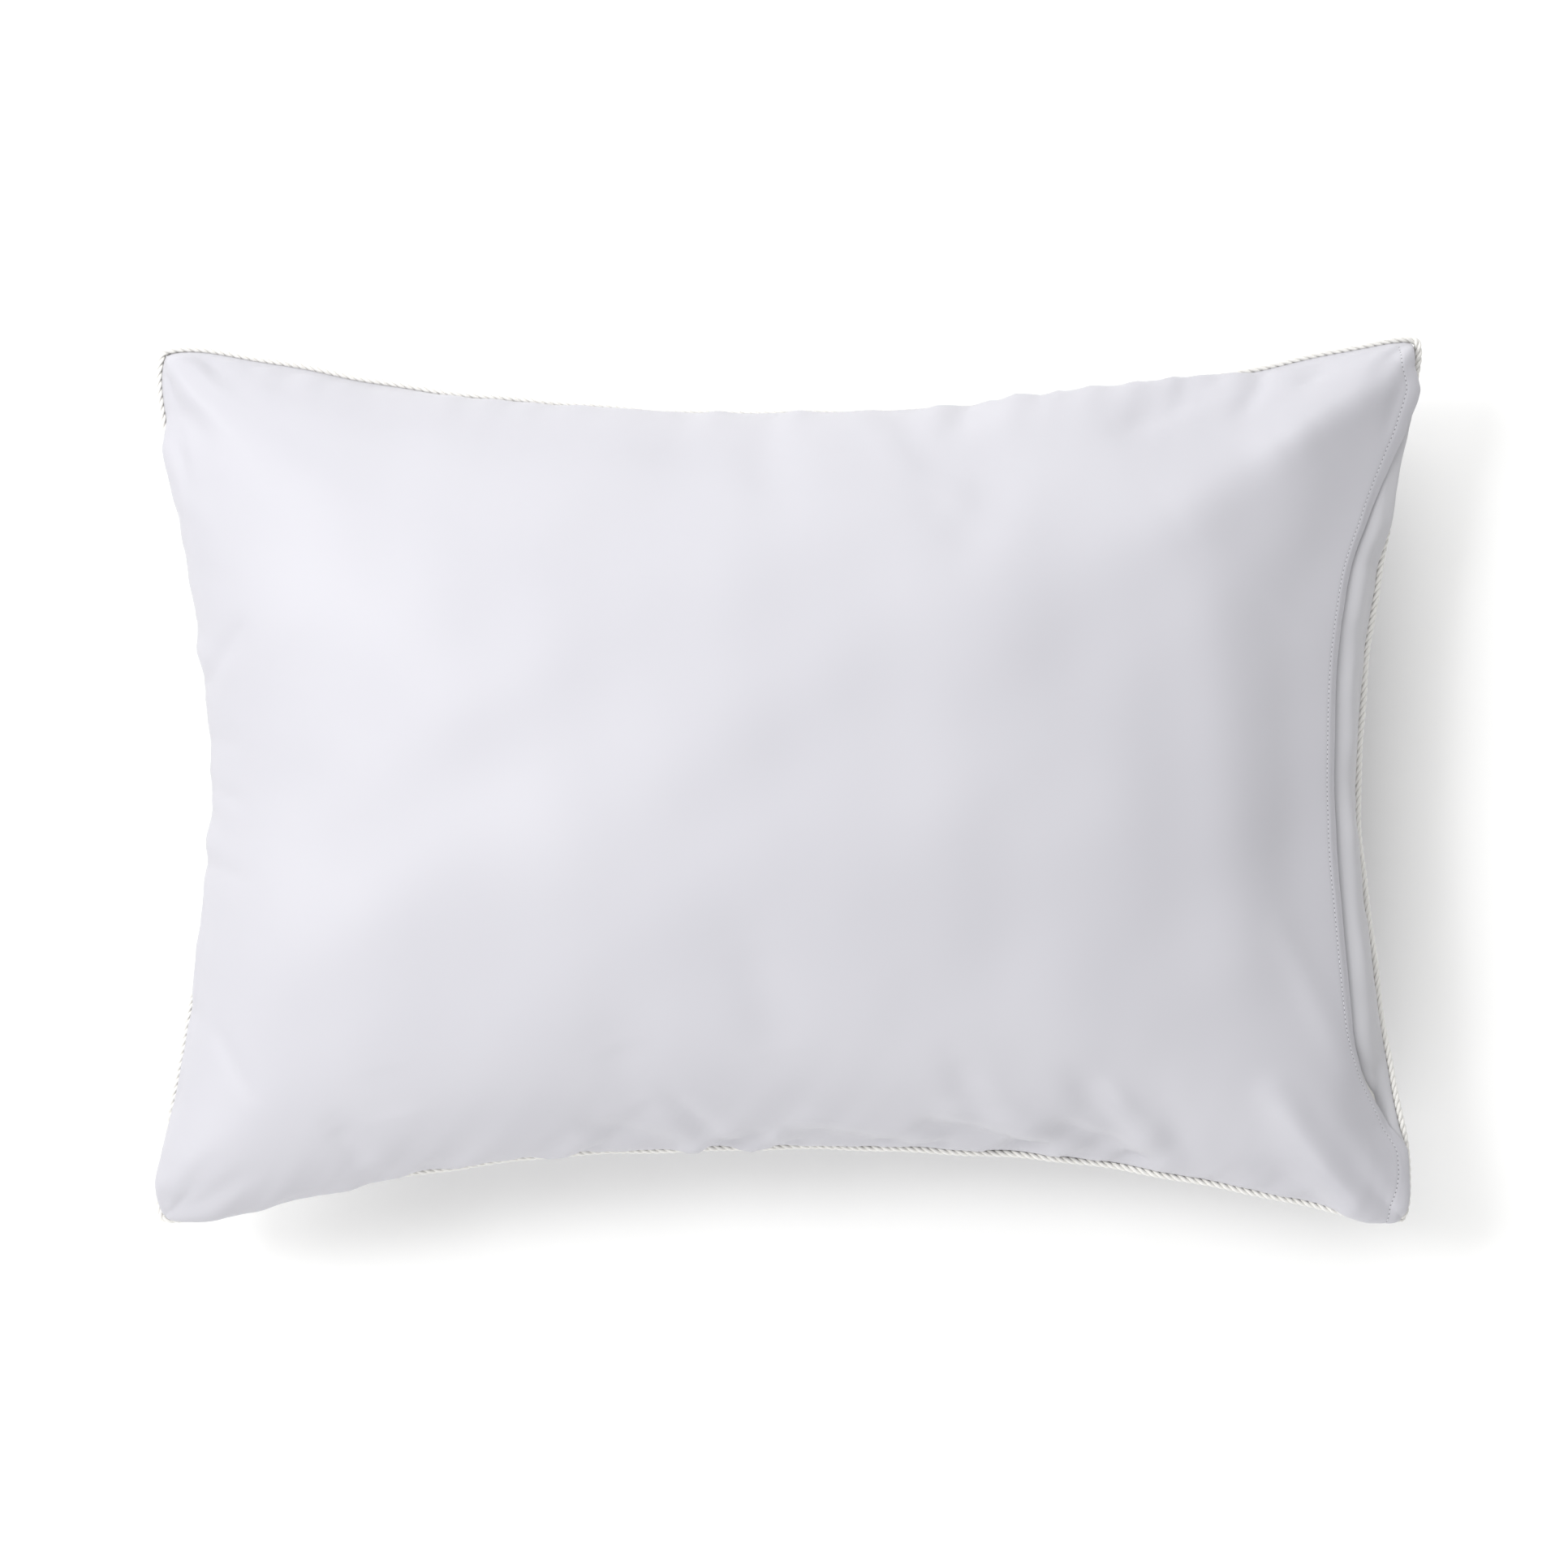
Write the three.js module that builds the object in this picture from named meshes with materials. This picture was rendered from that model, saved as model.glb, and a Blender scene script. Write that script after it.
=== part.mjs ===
// A bed pillow: a satin envelope case with a twisted-cord piping, over a plump insert that slides out.
//
// Millimetres. The origin is at the bottom centre, +X points to the mouth of the case, +Y across the
// pillow, +Z up. Every cloth layer follows one crowned form: in plan its sides pull in between the
// corners, and each section through the middle is half an ellipse above and below the seam.
import * as THREE from 'three';

// ---- driving dimensions ------------------------------------------------------------------------

const LOFT = 183; // whole height of the filled pillow
const SEAM_HEIGHT = 80; // of the piped seam above the surface
const BOTTOM_DEPTH = 95; // depth of the lower crown, before the surface flattens it

// The seam's four sides. A 700 x 500 mm cut is drawn in by the loft to 670 x 470 mm from corner to
// corner. reach is where a side's ends would be if its corners were sharp, depth how far the side
// pulls in halfway between them, and power how late along the side the curve turns.
const SIDES = {
  closedEnd: { reach: 345.6, depth: 42, power: 1.58 },
  mouthEnd: { reach: 340.6, depth: 37.5, power: 1.53 },
  backSide: { reach: 240.8, depth: 45, power: 2.1 },
  frontSide: { reach: 247.2, depth: 51, power: 2.4 },
};
// How much each rounded corner loses in X and in Y.
const CORNER_CUTS = { closedBack: 12.4, mouthBack: 6.8, closedFront: 13.6, mouthFront: 13.2 };

const CORD_RADIUS = 2.2;
const CORD_SIDES = 8;
const CORD_JOIN = 0.3; // between the two ends of the cord, which meet in the front seam
const TAPE_WIDTH = 8; // the cord's lip, sewn into the seam
const TAPE_THICKNESS = 0.6;
const CLOTH = 1.0; // sheet thickness
const FLAP_CLOTH = 0.8; // the flap is one thinner layer
const TICKING = 0.8;
const HEM_EXTRA = 0.6; // the turned layer of a hem
const THREAD_RADIUS = 0.3;
const THREAD_SIDES = 6;
const LOOP_THREAD_SIDES = 4; // of a thread that runs all round the seam
const GAP = 0.3; // between pieces that touch
const PANEL_RIM = 0.3; // a panel's rim stands this far off the tape

const CELLS_LONG = 24; // cells of the cloth grid along X
const CELLS_WIDE = 16;
const OUTLINE_CELLS_LONG = 36; // steps of a seam loop along one long side
const OUTLINE_CELLS_WIDE = 24;
const MOUTH_COLUMN = 22; // the top panel ends on this grid column
const HEM_START = 0.783; // where the mouth hem starts, as a share of the half length
const HEM_STEP = 0.004; // share of the half length over which a hem's extra layer starts
const FLAP_HEM = 0.05; // width of the flap's hem, as a share of the half length
const FLAP_THREAD = 0.04; // its stitches, from the free edge
const CORD_CLEARANCE = 1.0; // between the cord and the panels
const FLAP_COLUMN = 15; // the flap's free edge, tucked in under the top panel
const FLAP_UNDER = 1.6; // the flap lies this far under the top panel's outer face

const PANEL_INSET = 2 * CORD_RADIUS + CORD_CLEARANCE; // panels start just inside the cord
const TAPE_INSET = 2 * CORD_RADIUS + 2 * GAP;
const SEAM_THREAD_INSET = TAPE_INSET + TAPE_WIDTH / 2;
const INSERT_INSET = TAPE_INSET + TAPE_WIDTH + 2 * THREAD_RADIUS + 2 * GAP;
const INSERT_THREAD_INSET = INSERT_INSET - GAP - THREAD_RADIUS;
const INSERT_UNDER = 4.5; // the insert's crown lies this far under the case's
const INSERT_LIFT = 1.5; // the insert's flat underside, above the case's outer face
const FILL_CLEARANCE = 0.5; // between the ticking and the fill
const FILL_UNDER = TICKING + FILL_CLEARANCE; // the fill's face, under the ticking's outer face

const PANEL_BASE = TAPE_THICKNESS / 2 + PANEL_RIM;
const TOP_CROWN = LOFT - SEAM_HEIGHT - PANEL_BASE;
const BOTTOM_CROWN = BOTTOM_DEPTH - PANEL_BASE;

// ---- materials ---------------------------------------------------------------------------------

function cloth(color, roughness) {
  return new THREE.MeshStandardMaterial({ color, roughness, metalness: 0 });
}

const SATIN = cloth(0xe4e4ea, 0.42);
const SATIN_INSIDE = cloth(0xd9d9e0, 0.5);
const CORD_YARN = cloth(0xf6f4ef, 0.75);
const TAPE_COTTON = cloth(0xf0eee8, 0.85);
const SEWING_THREAD = cloth(0xdcdce2, 0.7);
const TICKING_COTTON = cloth(0xf2f0ea, 0.9);
const FILL_FIBRE = cloth(0xf7f6f2, 0.95);

// ---- the crowned form --------------------------------------------------------------------------

// a and b run from -1 to 1 along and across the pillow. They are angles in disguise: the sine gives
// the place in plan and the cosine the height, so a section at b = 0 is half an ellipse.
function ramp(share) {
  const angle = (share * Math.PI) / 2;
  return { place: Math.sin(angle), height: Math.cos(angle) };
}

function pulledIn(side, along, inset) {
  return side.reach - inset - side.depth * (1 - Math.abs(along) ** side.power);
}

// A rounded corner: both coordinates lose the cut at the corner itself, and the powers make the edge
// pass it at 45 degrees.
function cornerLoss(s, t) {
  const end = s < 0 ? 'closed' : 'mouth';
  const cut = CORNER_CUTS[end + (t < 0 ? 'Front' : 'Back')];
  const lengthPower = SIDES[`${end}End`].reach / (2 * cut);
  const widthPower = SIDES[t < 0 ? 'frontSide' : 'backSide'].reach / (2 * cut);
  return cut * Math.abs(s) ** lengthPower * Math.abs(t) ** widthPower;
}

function plan(a, b, inset) {
  const s = ramp(a).place;
  const t = ramp(b).place;
  const right = pulledIn(SIDES.mouthEnd, t, inset);
  const left = -pulledIn(SIDES.closedEnd, t, inset);
  const back = pulledIn(SIDES.backSide, s, inset);
  const front = -pulledIn(SIDES.frontSide, s, inset);
  const loss = cornerLoss(s, t);
  const x = left + ((right - left) * (s + 1)) / 2 - Math.sign(s) * loss;
  const y = front + ((back - front) * (t + 1)) / 2 - Math.sign(t) * loss;
  return { x, y };
}

function crown(a, b) {
  return Math.max(0, ramp(a).height * ramp(b).height);
}

// A layer above the seam: it starts at base over the seam plane and rises by rise at the middle.
function upperLayer(inset, base, rise) {
  return (a, b) => {
    const { x, y } = plan(a, b, inset);
    return new THREE.Vector3(x, y, SEAM_HEIGHT + base + rise * crown(a, b));
  };
}

// A layer below the seam, flattened where it would pass below floor.
function lowerLayer(inset, base, fall, floor) {
  return (a, b) => {
    const { x, y } = plan(a, b, inset);
    const z = SEAM_HEIGHT - base - fall * crown(a, b);
    return new THREE.Vector3(x, y, Math.max(floor, z));
  };
}

const caseTop = (depth) => upperLayer(PANEL_INSET + depth, PANEL_BASE, TOP_CROWN - depth);
const caseBottom = (depth) =>
  lowerLayer(PANEL_INSET + depth, PANEL_BASE, BOTTOM_CROWN - depth, depth);
const insertTop = (depth) =>
  upperLayer(INSERT_INSET + depth, GAP, TOP_CROWN - INSERT_UNDER - depth);
const insertBottom = (depth) =>
  lowerLayer(INSERT_INSET + depth, GAP, BOTTOM_CROWN - INSERT_UNDER - depth, INSERT_LIFT + depth);

// ---- mesh builders -----------------------------------------------------------------------------

function steps(cells, first = 0, last = cells) {
  const values = [];
  for (let i = first; i <= last; i += 1) values.push(-1 + (2 * i) / cells);
  return values;
}

// A closed sheet between two layers. upper is above or outside lower at every grid point.
function sheet(alongValues, acrossValues, upper, lower) {
  const rows = acrossValues.length;
  const positions = [];
  for (const layer of [upper, lower]) {
    for (const a of alongValues) {
      for (const b of acrossValues) positions.push(...layer(a, b).toArray());
    }
  }
  const count = alongValues.length * rows;
  const top = (i, j) => i * rows + j;
  const under = (i, j) => count + i * rows + j;
  const faces = [];
  const quad = (p, q, r, s) => faces.push(p, q, r, p, r, s);
  for (let i = 0; i < alongValues.length - 1; i += 1) {
    for (let j = 0; j < rows - 1; j += 1) {
      quad(top(i, j), top(i + 1, j), top(i + 1, j + 1), top(i, j + 1));
      quad(under(i, j), under(i, j + 1), under(i + 1, j + 1), under(i + 1, j));
    }
  }
  const lastColumn = alongValues.length - 1;
  const lastRow = rows - 1;
  for (let i = 0; i < lastColumn; i += 1) {
    quad(top(i, 0), under(i, 0), under(i + 1, 0), top(i + 1, 0));
    quad(top(i + 1, lastRow), under(i + 1, lastRow), under(i, lastRow), top(i, lastRow));
  }
  for (let j = 0; j < lastRow; j += 1) {
    quad(top(0, j + 1), under(0, j + 1), under(0, j), top(0, j));
    quad(top(lastColumn, j), under(lastColumn, j), under(lastColumn, j + 1), top(lastColumn, j + 1));
  }
  const geometry = new THREE.BufferGeometry();
  geometry.setAttribute('position', new THREE.Float32BufferAttribute(positions, 3));
  geometry.setIndex(faces);
  geometry.computeVertexNormals();
  return geometry;
}

// A path through given points, with a step of a tube at each of them.
class Polyline extends THREE.Curve {
  constructor(points) {
    super();
    this.points = points;
  }

  getPoint(t) {
    const place = t * (this.points.length - 1);
    const i = Math.min(Math.floor(place), this.points.length - 2);
    return this.points[i].clone().lerp(this.points[i + 1], place - i);
  }

  getPointAt(u) {
    return this.getPoint(u);
  }

  getTangentAt(u) {
    return this.getTangent(u);
  }
}

function tube(points, radius, sides) {
  const section = new THREE.Shape();
  for (let i = 0; i < sides; i += 1) {
    const angle = (2 * Math.PI * i) / sides;
    const [x, y] = [radius * Math.cos(angle), radius * Math.sin(angle)];
    if (i === 0) section.moveTo(x, y);
    else section.lineTo(x, y);
  }
  return new THREE.ExtrudeGeometry(section, {
    steps: points.length - 1,
    extrudePath: new Polyline(points),
    bevelEnabled: false,
  });
}

// The seam's outline at an inset, once round from the middle of the front side.
function outline(inset) {
  const long = steps(OUTLINE_CELLS_LONG);
  const wide = steps(OUTLINE_CELLS_WIDE).slice(1, -1);
  const round = [
    ...long.filter((a) => a >= 0).map((a) => [a, -1]),
    ...wide.map((b) => [1, b]),
    ...long.toReversed().map((a) => [a, 1]),
    ...wide.toReversed().map((b) => [-1, b]),
    ...long.filter((a) => a < 0).map((a) => [a, -1]),
  ];
  return round.map(([a, b]) => plan(a, b, inset));
}

// A closed loop of tube around the seam, cut by a small join where its ends meet.
function seamLoop(inset, z, radius, sides) {
  const points = outline(inset).map(({ x, y }) => new THREE.Vector3(x, y, z));
  const first = points[0].clone();
  points.push(first.clone().setX(first.x - CORD_JOIN));
  return tube(points, radius, sides);
}

function addPiece(group, name, geometry, material) {
  const mesh = new THREE.Mesh(geometry, material);
  mesh.name = name;
  group.add(mesh);
}

// ---- the case ----------------------------------------------------------------------------------

// The upper panel stops short of the mouth's seam, where its edge is turned in as a hem.
function topPanel() {
  const columns = steps(CELLS_LONG, 0, MOUTH_COLUMN);
  columns.splice(-1, 0, HEM_START, HEM_START + HEM_STEP);
  const outer = (a, b) => caseTop(a > HEM_START ? -HEM_EXTRA : 0)(a, b);
  return sheet(columns, steps(CELLS_WIDE), outer, caseTop(CLOTH));
}

function bottomPanel() {
  return sheet(steps(CELLS_LONG), steps(CELLS_WIDE), caseBottom(CLOTH), caseBottom(0));
}

// The flap is sewn to the mouth's seam and reaches back under the top panel. Its free edge has a hem
// that is turned down, so it is thicker on the inside there.
function flap() {
  const columns = steps(CELLS_LONG, FLAP_COLUMN);
  const hemEnd = columns[0] + FLAP_HEM;
  columns.splice(1, 0, hemEnd, hemEnd + HEM_STEP);
  const thickness = (a) => (a > hemEnd ? FLAP_CLOTH : FLAP_CLOTH + HEM_EXTRA);
  const inner = (a, b) => caseTop(FLAP_UNDER + thickness(a))(a, b);
  return sheet(columns, steps(CELLS_WIDE), caseTop(FLAP_UNDER), inner);
}

// The cord's lip: a flat tape all round, in the plane of the seam.
function seamTape() {
  const shape = new THREE.Shape(outline(TAPE_INSET).map(({ x, y }) => new THREE.Vector2(x, y)));
  const inner = outline(TAPE_INSET + TAPE_WIDTH).map(({ x, y }) => new THREE.Vector2(x, y));
  shape.holes.push(new THREE.Path(inner.toReversed()));
  const geometry = new THREE.ExtrudeGeometry(shape, { depth: TAPE_THICKNESS, bevelEnabled: false });
  return geometry.translate(0, 0, SEAM_HEIGHT - TAPE_THICKNESS / 2);
}

// A row of hem stitches across the pillow, as one thread that lies on a layer.
function hemThread(a, layer) {
  const reach = 1 - 2 / CELLS_WIDE;
  const across = steps(CELLS_WIDE).filter((b) => Math.abs(b) <= reach + 1e-6);
  return tube(across.map((b) => layer(a, b)), THREAD_RADIUS, THREAD_SIDES);
}

function caseAssembly() {
  const group = new THREE.Group();
  const threadOff = THREAD_RADIUS + GAP;
  const mouthThreadLine = HEM_START + 2 * HEM_STEP;
  const flapThreadLine = steps(CELLS_LONG, FLAP_COLUMN)[0] + FLAP_THREAD;
  addPiece(group, 'case_top_panel', topPanel(), SATIN);
  addPiece(group, 'case_bottom_panel', bottomPanel(), SATIN);
  addPiece(group, 'tuck_in_flap', flap(), SATIN_INSIDE);
  addPiece(group, 'piping_cord', seamLoop(CORD_RADIUS, SEAM_HEIGHT, CORD_RADIUS, CORD_SIDES), CORD_YARN);
  addPiece(group, 'piping_tape', seamTape(), TAPE_COTTON);
  const seamThread = seamLoop(
    SEAM_THREAD_INSET,
    SEAM_HEIGHT + TAPE_THICKNESS / 2 + threadOff,
    THREAD_RADIUS,
    LOOP_THREAD_SIDES,
  );
  addPiece(group, 'seam_thread', seamThread, SEWING_THREAD);
  const onMouthHem = caseTop(-HEM_EXTRA - threadOff);
  addPiece(group, 'mouth_hem_thread', hemThread(mouthThreadLine, onMouthHem), SEWING_THREAD);
  const underFlapHem = caseTop(FLAP_UNDER + FLAP_CLOTH + HEM_EXTRA + threadOff);
  addPiece(group, 'flap_hem_thread', hemThread(flapThreadLine, underFlapHem), SEWING_THREAD);
  return group;
}

// ---- the insert --------------------------------------------------------------------------------

function insertAssembly() {
  const group = new THREE.Group();
  const along = steps(CELLS_LONG);
  const across = steps(CELLS_WIDE);
  const tickingTop = sheet(along, across, insertTop(0), insertTop(TICKING));
  addPiece(group, 'insert_ticking_top', tickingTop, TICKING_COTTON);
  const tickingBottom = sheet(along, across, insertBottom(TICKING), insertBottom(0));
  addPiece(group, 'insert_ticking_bottom', tickingBottom, TICKING_COTTON);
  const fill = sheet(along, across, insertTop(FILL_UNDER), insertBottom(FILL_UNDER));
  addPiece(group, 'insert_fill', fill, FILL_FIBRE);
  const edgeThread = seamLoop(INSERT_THREAD_INSET, SEAM_HEIGHT, THREAD_RADIUS, LOOP_THREAD_SIDES);
  addPiece(group, 'insert_edge_thread', edgeThread, SEWING_THREAD);
  return group;
}

const pillow = new THREE.Group();
pillow.add(caseAssembly(), insertAssembly());

export default pillow;
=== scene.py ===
# %% [markdown]
# # A bed pillow in a piped satin case
# This lesson dresses a plain model of a bed pillow. The plain model gives every piece its place and
# size: a case of two panels with a twisted cord in the seam, a tuck-in flap at the open end, and an
# insert that slides out. Here each of them becomes cloth, cord or thread. All lengths are in metres,
# +X points to the mouth of the case, and +Z points up.

import bpy
import numpy as np
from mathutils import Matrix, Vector


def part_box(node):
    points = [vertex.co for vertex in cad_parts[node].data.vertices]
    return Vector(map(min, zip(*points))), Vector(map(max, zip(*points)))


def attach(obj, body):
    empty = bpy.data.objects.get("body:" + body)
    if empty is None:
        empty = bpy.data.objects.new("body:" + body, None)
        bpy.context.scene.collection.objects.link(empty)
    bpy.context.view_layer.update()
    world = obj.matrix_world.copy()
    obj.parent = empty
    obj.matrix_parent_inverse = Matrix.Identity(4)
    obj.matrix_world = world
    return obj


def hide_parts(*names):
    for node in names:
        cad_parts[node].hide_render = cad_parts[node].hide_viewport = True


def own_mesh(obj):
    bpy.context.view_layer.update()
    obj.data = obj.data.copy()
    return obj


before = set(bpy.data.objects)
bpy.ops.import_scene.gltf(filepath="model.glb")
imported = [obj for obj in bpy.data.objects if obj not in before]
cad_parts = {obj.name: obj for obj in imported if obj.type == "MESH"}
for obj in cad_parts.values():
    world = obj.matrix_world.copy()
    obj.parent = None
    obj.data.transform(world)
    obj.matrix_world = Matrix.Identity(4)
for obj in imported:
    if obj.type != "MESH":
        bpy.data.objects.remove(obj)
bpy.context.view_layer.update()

# %% [markdown]
# ## Where the cloth lies
# A filled case is close to half an ellipse above and below its seam, in both directions. Two numbers
# a and b, from -1 to 1 along and across the pillow, place any point of the cloth: their sines give the
# place in plan and their cosines the height. In plan the four sides pull in between the corners,
# because the cloth that rises over the fill has to come from somewhere. The seam's outline is the one
# of the plain model, so the numbers of its four sides are repeated here.

# %% Sizes that drive everything
MM = 0.001
SIDES = {  # where a side would end without its round corners, how far it pulls in, how late it turns
    "closed": dict(reach=345.6 * MM, depth=42 * MM, power=1.58),
    "mouth": dict(reach=340.6 * MM, depth=37.5 * MM, power=1.53),
    "back": dict(reach=240.8 * MM, depth=45 * MM, power=2.1),
    "front": dict(reach=247.2 * MM, depth=51 * MM, power=2.4),
}
CORNER_CUTS = {  # what each rounded corner loses in X and in Y: closed or mouth end, back or front side
    (-1, 1): 12.4 * MM,
    (1, 1): 6.8 * MM,
    (-1, -1): 13.6 * MM,
    (1, -1): 13.2 * MM,
}
cord_low, cord_high = (np.array(corner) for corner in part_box("piping_cord"))
CORD_RADIUS = (cord_high[2] - cord_low[2]) / 2
SEAM_Z = (cord_high[2] + cord_low[2]) / 2
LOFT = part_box("case_top_panel")[1][2]
RIM = 0.6 * MM  # half the thickness of the seam between the two panels
PANEL_INSET = 2 * CORD_RADIUS + 0.2 * MM  # the panels end on the inner side of the cord
TOP_CROWN = LOFT - SEAM_Z - RIM
HANG = 95 * MM  # how deep the lower cloth would hang under the seam if no floor stopped it
BOTTOM_CROWN = HANG - RIM
FLAT_LENGTH, FLAT_WIDTH = 0.70, 0.50
CORNER_PLUMPNESS = 0.28
print(f"seam at {SEAM_Z:.4f} m, cord {2 * CORD_RADIUS:.4f} m thick, loft {LOFT:.3f} m")


# %% The seam's outline and the crowned form
def place_and_height(share):
    """A share from -1 to 1 as a quarter turn each way: its sine is the place, its cosine the height."""
    angle = np.asarray(share, float) * np.pi / 2
    return np.sin(angle), np.maximum(np.cos(angle), 0)


def side_line(side, along, inset):
    """Distance of a side from the middle: reach, less a depth that is full at 0 and gone at the ends."""
    s = SIDES[side]
    return s["reach"] - inset - s["depth"] * (1 - np.abs(along) ** s["power"])


def corner_loss(s, t):
    """What a rounded corner loses: cut * |s|^p * |t|^q, with powers that pass the corner at 45 degrees."""
    loss = np.zeros(np.broadcast(s, t).shape)
    for (end, side), cut in CORNER_CUTS.items():
        here = (np.where(s < 0, -1, 1) == end) & (np.where(t < 0, -1, 1) == side)
        p = SIDES["closed" if end < 0 else "mouth"]["reach"] / (2 * cut)
        q = SIDES["front" if side < 0 else "back"]["reach"] / (2 * cut)
        loss = np.where(here, cut * np.abs(s) ** p * np.abs(t) ** q, loss)
    return loss


def plan(a, b, inset):
    """Place in plan: each coordinate runs from one side line to the other with the sine of a or b."""
    s, _ = place_and_height(a)
    t, _ = place_and_height(b)
    right, left = side_line("mouth", t, inset), -side_line("closed", t, inset)
    back, front = side_line("back", s, inset), -side_line("front", s, inset)
    loss = corner_loss(s, t)
    x = left + (right - left) * (s + 1) / 2 - np.sign(s) * loss
    y = front + (back - front) * (t + 1) / 2 - np.sign(t) * loss
    return x, y


def crown(a, b):
    """Share of the full rise: the product of both cosines, to a lower power in the corners, which
    are plumper than an ellipse there: c ^ (1 - k * |s|^5 * |t|^5)."""
    (s, high_a), (t, high_b) = place_and_height(a), place_and_height(b)
    return (high_a * high_b + 1e-12) ** (1 - CORNER_PLUMPNESS * np.abs(s) ** 5 * np.abs(t) ** 5)


def off_seam(a, b):
    """0 on the seam and up to 1 away from it: u * v / sqrt(u^2 + v^2) of the two cosines."""
    u, v = place_and_height(a)[1], place_and_height(b)[1]
    return u * v / (np.hypot(u, v) + 1e-9)


def even_grid(rows, columns):
    """Even values of a and b over the whole pillow, as two grids."""
    return np.meshgrid(np.linspace(-1, 1, rows), np.linspace(-1, 1, columns), indexing="ij")


def smooth(low, high, value):
    """0 below low, 1 above high, and a smooth step between."""
    t = np.clip((value - low) / (high - low), 0, 1)
    return t * t * (3 - 2 * t)


def bump(value, middle, width):
    """A bell curve of height 1."""
    return np.exp(-(((value - middle) / width) ** 2))


# %% [markdown]
# ## What makes it cloth and not a balloon
# Satin is limp and slippery, so a filled case keeps mostly soft folds. There are five kinds of relief
# here. The seam wanders a little, because thread and cord are never quite straight. The cloth leans out
# over the seam where the fill pushes, and hides the cord there. Short gathers run up from the seam,
# where the flat cut has more cloth than the pulled-in outline needs. Long folds and pleats, placed one
# by one, cross the corners and the seam and mark where the insert ends. And broad shallow hollows are
# left by hands. Each is a smooth function added to the crowned form.

# %% How the seam wanders and how far the cloth leans over it
def seam_wander(x, y):
    """Small sideways and upward waves of the seam, from sines of the place in plan."""
    dx = 0.5 * np.sin(61 * y + 0.4) + 0.3 * np.sin(133 * y + 2.0)
    dy = 0.4 * np.sin(47 * x + 1.0) + 0.3 * np.sin(118 * x + 0.3)
    dz = 1.3 * np.sin(19 * x - 14 * y + 0.5) + 0.6 * np.sin(52 * x + 44 * y)
    return np.stack([dx, dy, dz], -1) * MM


# Overhang of the upper cloth in millimetres, at places along each side. Over 5 hides the cord.
LEAN = {
    "back": ([-0.33, -0.22, -0.18, -0.10, 0.04, 0.09, 0.14, 0.21, 0.235, 0.25, 0.335],
             [-1.6, -1.6, 0.0, 2.0, 3.2, 4.8, 6.4, 6.8, 3.0, -1.2, -1.6]),
    "front": ([-0.33, -0.23, -0.19, -0.05, 0.06, 0.12, 0.288, 0.306, 0.33],
              [6.0, 6.6, 3.0, 3.6, 2.8, 0.4, 0.8, 4.8, 5.4]),
    "closed": ([-0.24, -0.20, -0.17, -0.12, -0.10, 0.175, 0.192, 0.24],
               [5.5, 5.0, 2.2, 2.4, 6.0, 6.2, -0.6, -1.6]),
    "mouth": ([-0.24, -0.195, -0.183, -0.02, 0.112, 0.135, 0.206, 0.218, 0.24],
              [5.2, 5.0, 0.4, 0.3, 0.4, 6.6, 6.4, 1.2, 0.4]),
}
LEAN_PEAK = 0.10  # how far up the cloth, as a cosine, the overhang is fullest


def end_share_of(a, b):
    """1 beside the two ends, 0 beside the two sides, and a smooth change across each corner."""
    (s, _), (t, _) = place_and_height(a), place_and_height(b)
    return np.abs(s) ** 7 / (np.abs(s) ** 7 + np.abs(t) ** 7 + 1e-9)


def swell(cosine):
    """(c / peak) * exp(1 - c / peak): nothing on the seam, full at the peak, gone further up."""
    c = cosine / LEAN_PEAK
    return c * np.exp(1 - c)


def push_out(a, b, size_x, size_y):
    """Outward move in plan: along X with the swell of a, along Y with that of b, together never
    longer than the larger of the two, so that a corner stays round."""
    (s, high_a), (t, high_b) = place_and_height(a), place_and_height(b)
    along_x = size_x * swell(high_a) * (1 - np.exp(-high_b / 0.08)) * np.abs(s) ** 3
    along_y = size_y * swell(high_b) * (1 - np.exp(-high_a / 0.08)) * np.abs(t) ** 3
    shorten = np.maximum(np.abs(along_x), np.abs(along_y)) / (np.hypot(along_x, along_y) + 1e-12)
    in_corner = smooth(0.88, 1.0, np.abs(s)) * smooth(0.88, 1.0, np.abs(t))
    shorten = shorten * (1 - np.where(s < 0, 0.35, 0) * in_corner)
    return np.stack([np.sign(s) * along_x * shorten, np.sign(t) * along_y * shorten, 0 * along_x], -1)


def lean(a, b, x, y):
    """Overhang of the upper cloth, from the table above."""
    ends = np.where(x > 0, np.interp(y, *LEAN["mouth"]), np.interp(y, *LEAN["closed"]))
    sides = np.where(y > 0, np.interp(x, *LEAN["back"]), np.interp(x, *LEAN["front"]))
    return push_out(a, b, ends * MM, sides * MM)


# %% Gathers along the seam and long folds across the cloth
def wander(u, wavelength, rng, count=5):
    """A smooth random line: sines of nearby wavelengths with random phases, about 1 high."""
    waves = wavelength * rng.uniform(0.55, 1.6, count)
    phases = rng.uniform(0, 2 * np.pi, count)
    return np.sin(2 * np.pi * np.expand_dims(u, -1) / waves + phases).mean(-1) * 1.9


# Height of the gathers in millimetres, at places along each side.
GATHER = {
    "back": ([-0.33, -0.20, -0.10, 0.05, 0.12, 0.20, 0.26, 0.33],
             [0.7, 1.0, 1.2, 1.8, 2.9, 3.2, 2.0, 0.8]),
    "front": ([-0.33, -0.20, -0.10, 0.02, 0.12, 0.20, 0.26, 0.33],
              [1.0, 2.8, 3.6, 4.0, 4.0, 3.6, 2.2, 1.2]),
    "closed": ([-0.24, -0.12, -0.06, 0.03, 0.08, 0.14, 0.24], [0.6, 1.6, 2.4, 2.5, 2.0, 1.0, 0.5]),
    "mouth": ([-0.24, -0.12, 0.0, 0.12, 0.24], [0.8, 1.4, 1.0, 1.4, 0.7]),
}
GATHER_REACH = {"back": 0.20, "front": 0.22, "closed": 0.14, "mouth": 0.16}
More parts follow.
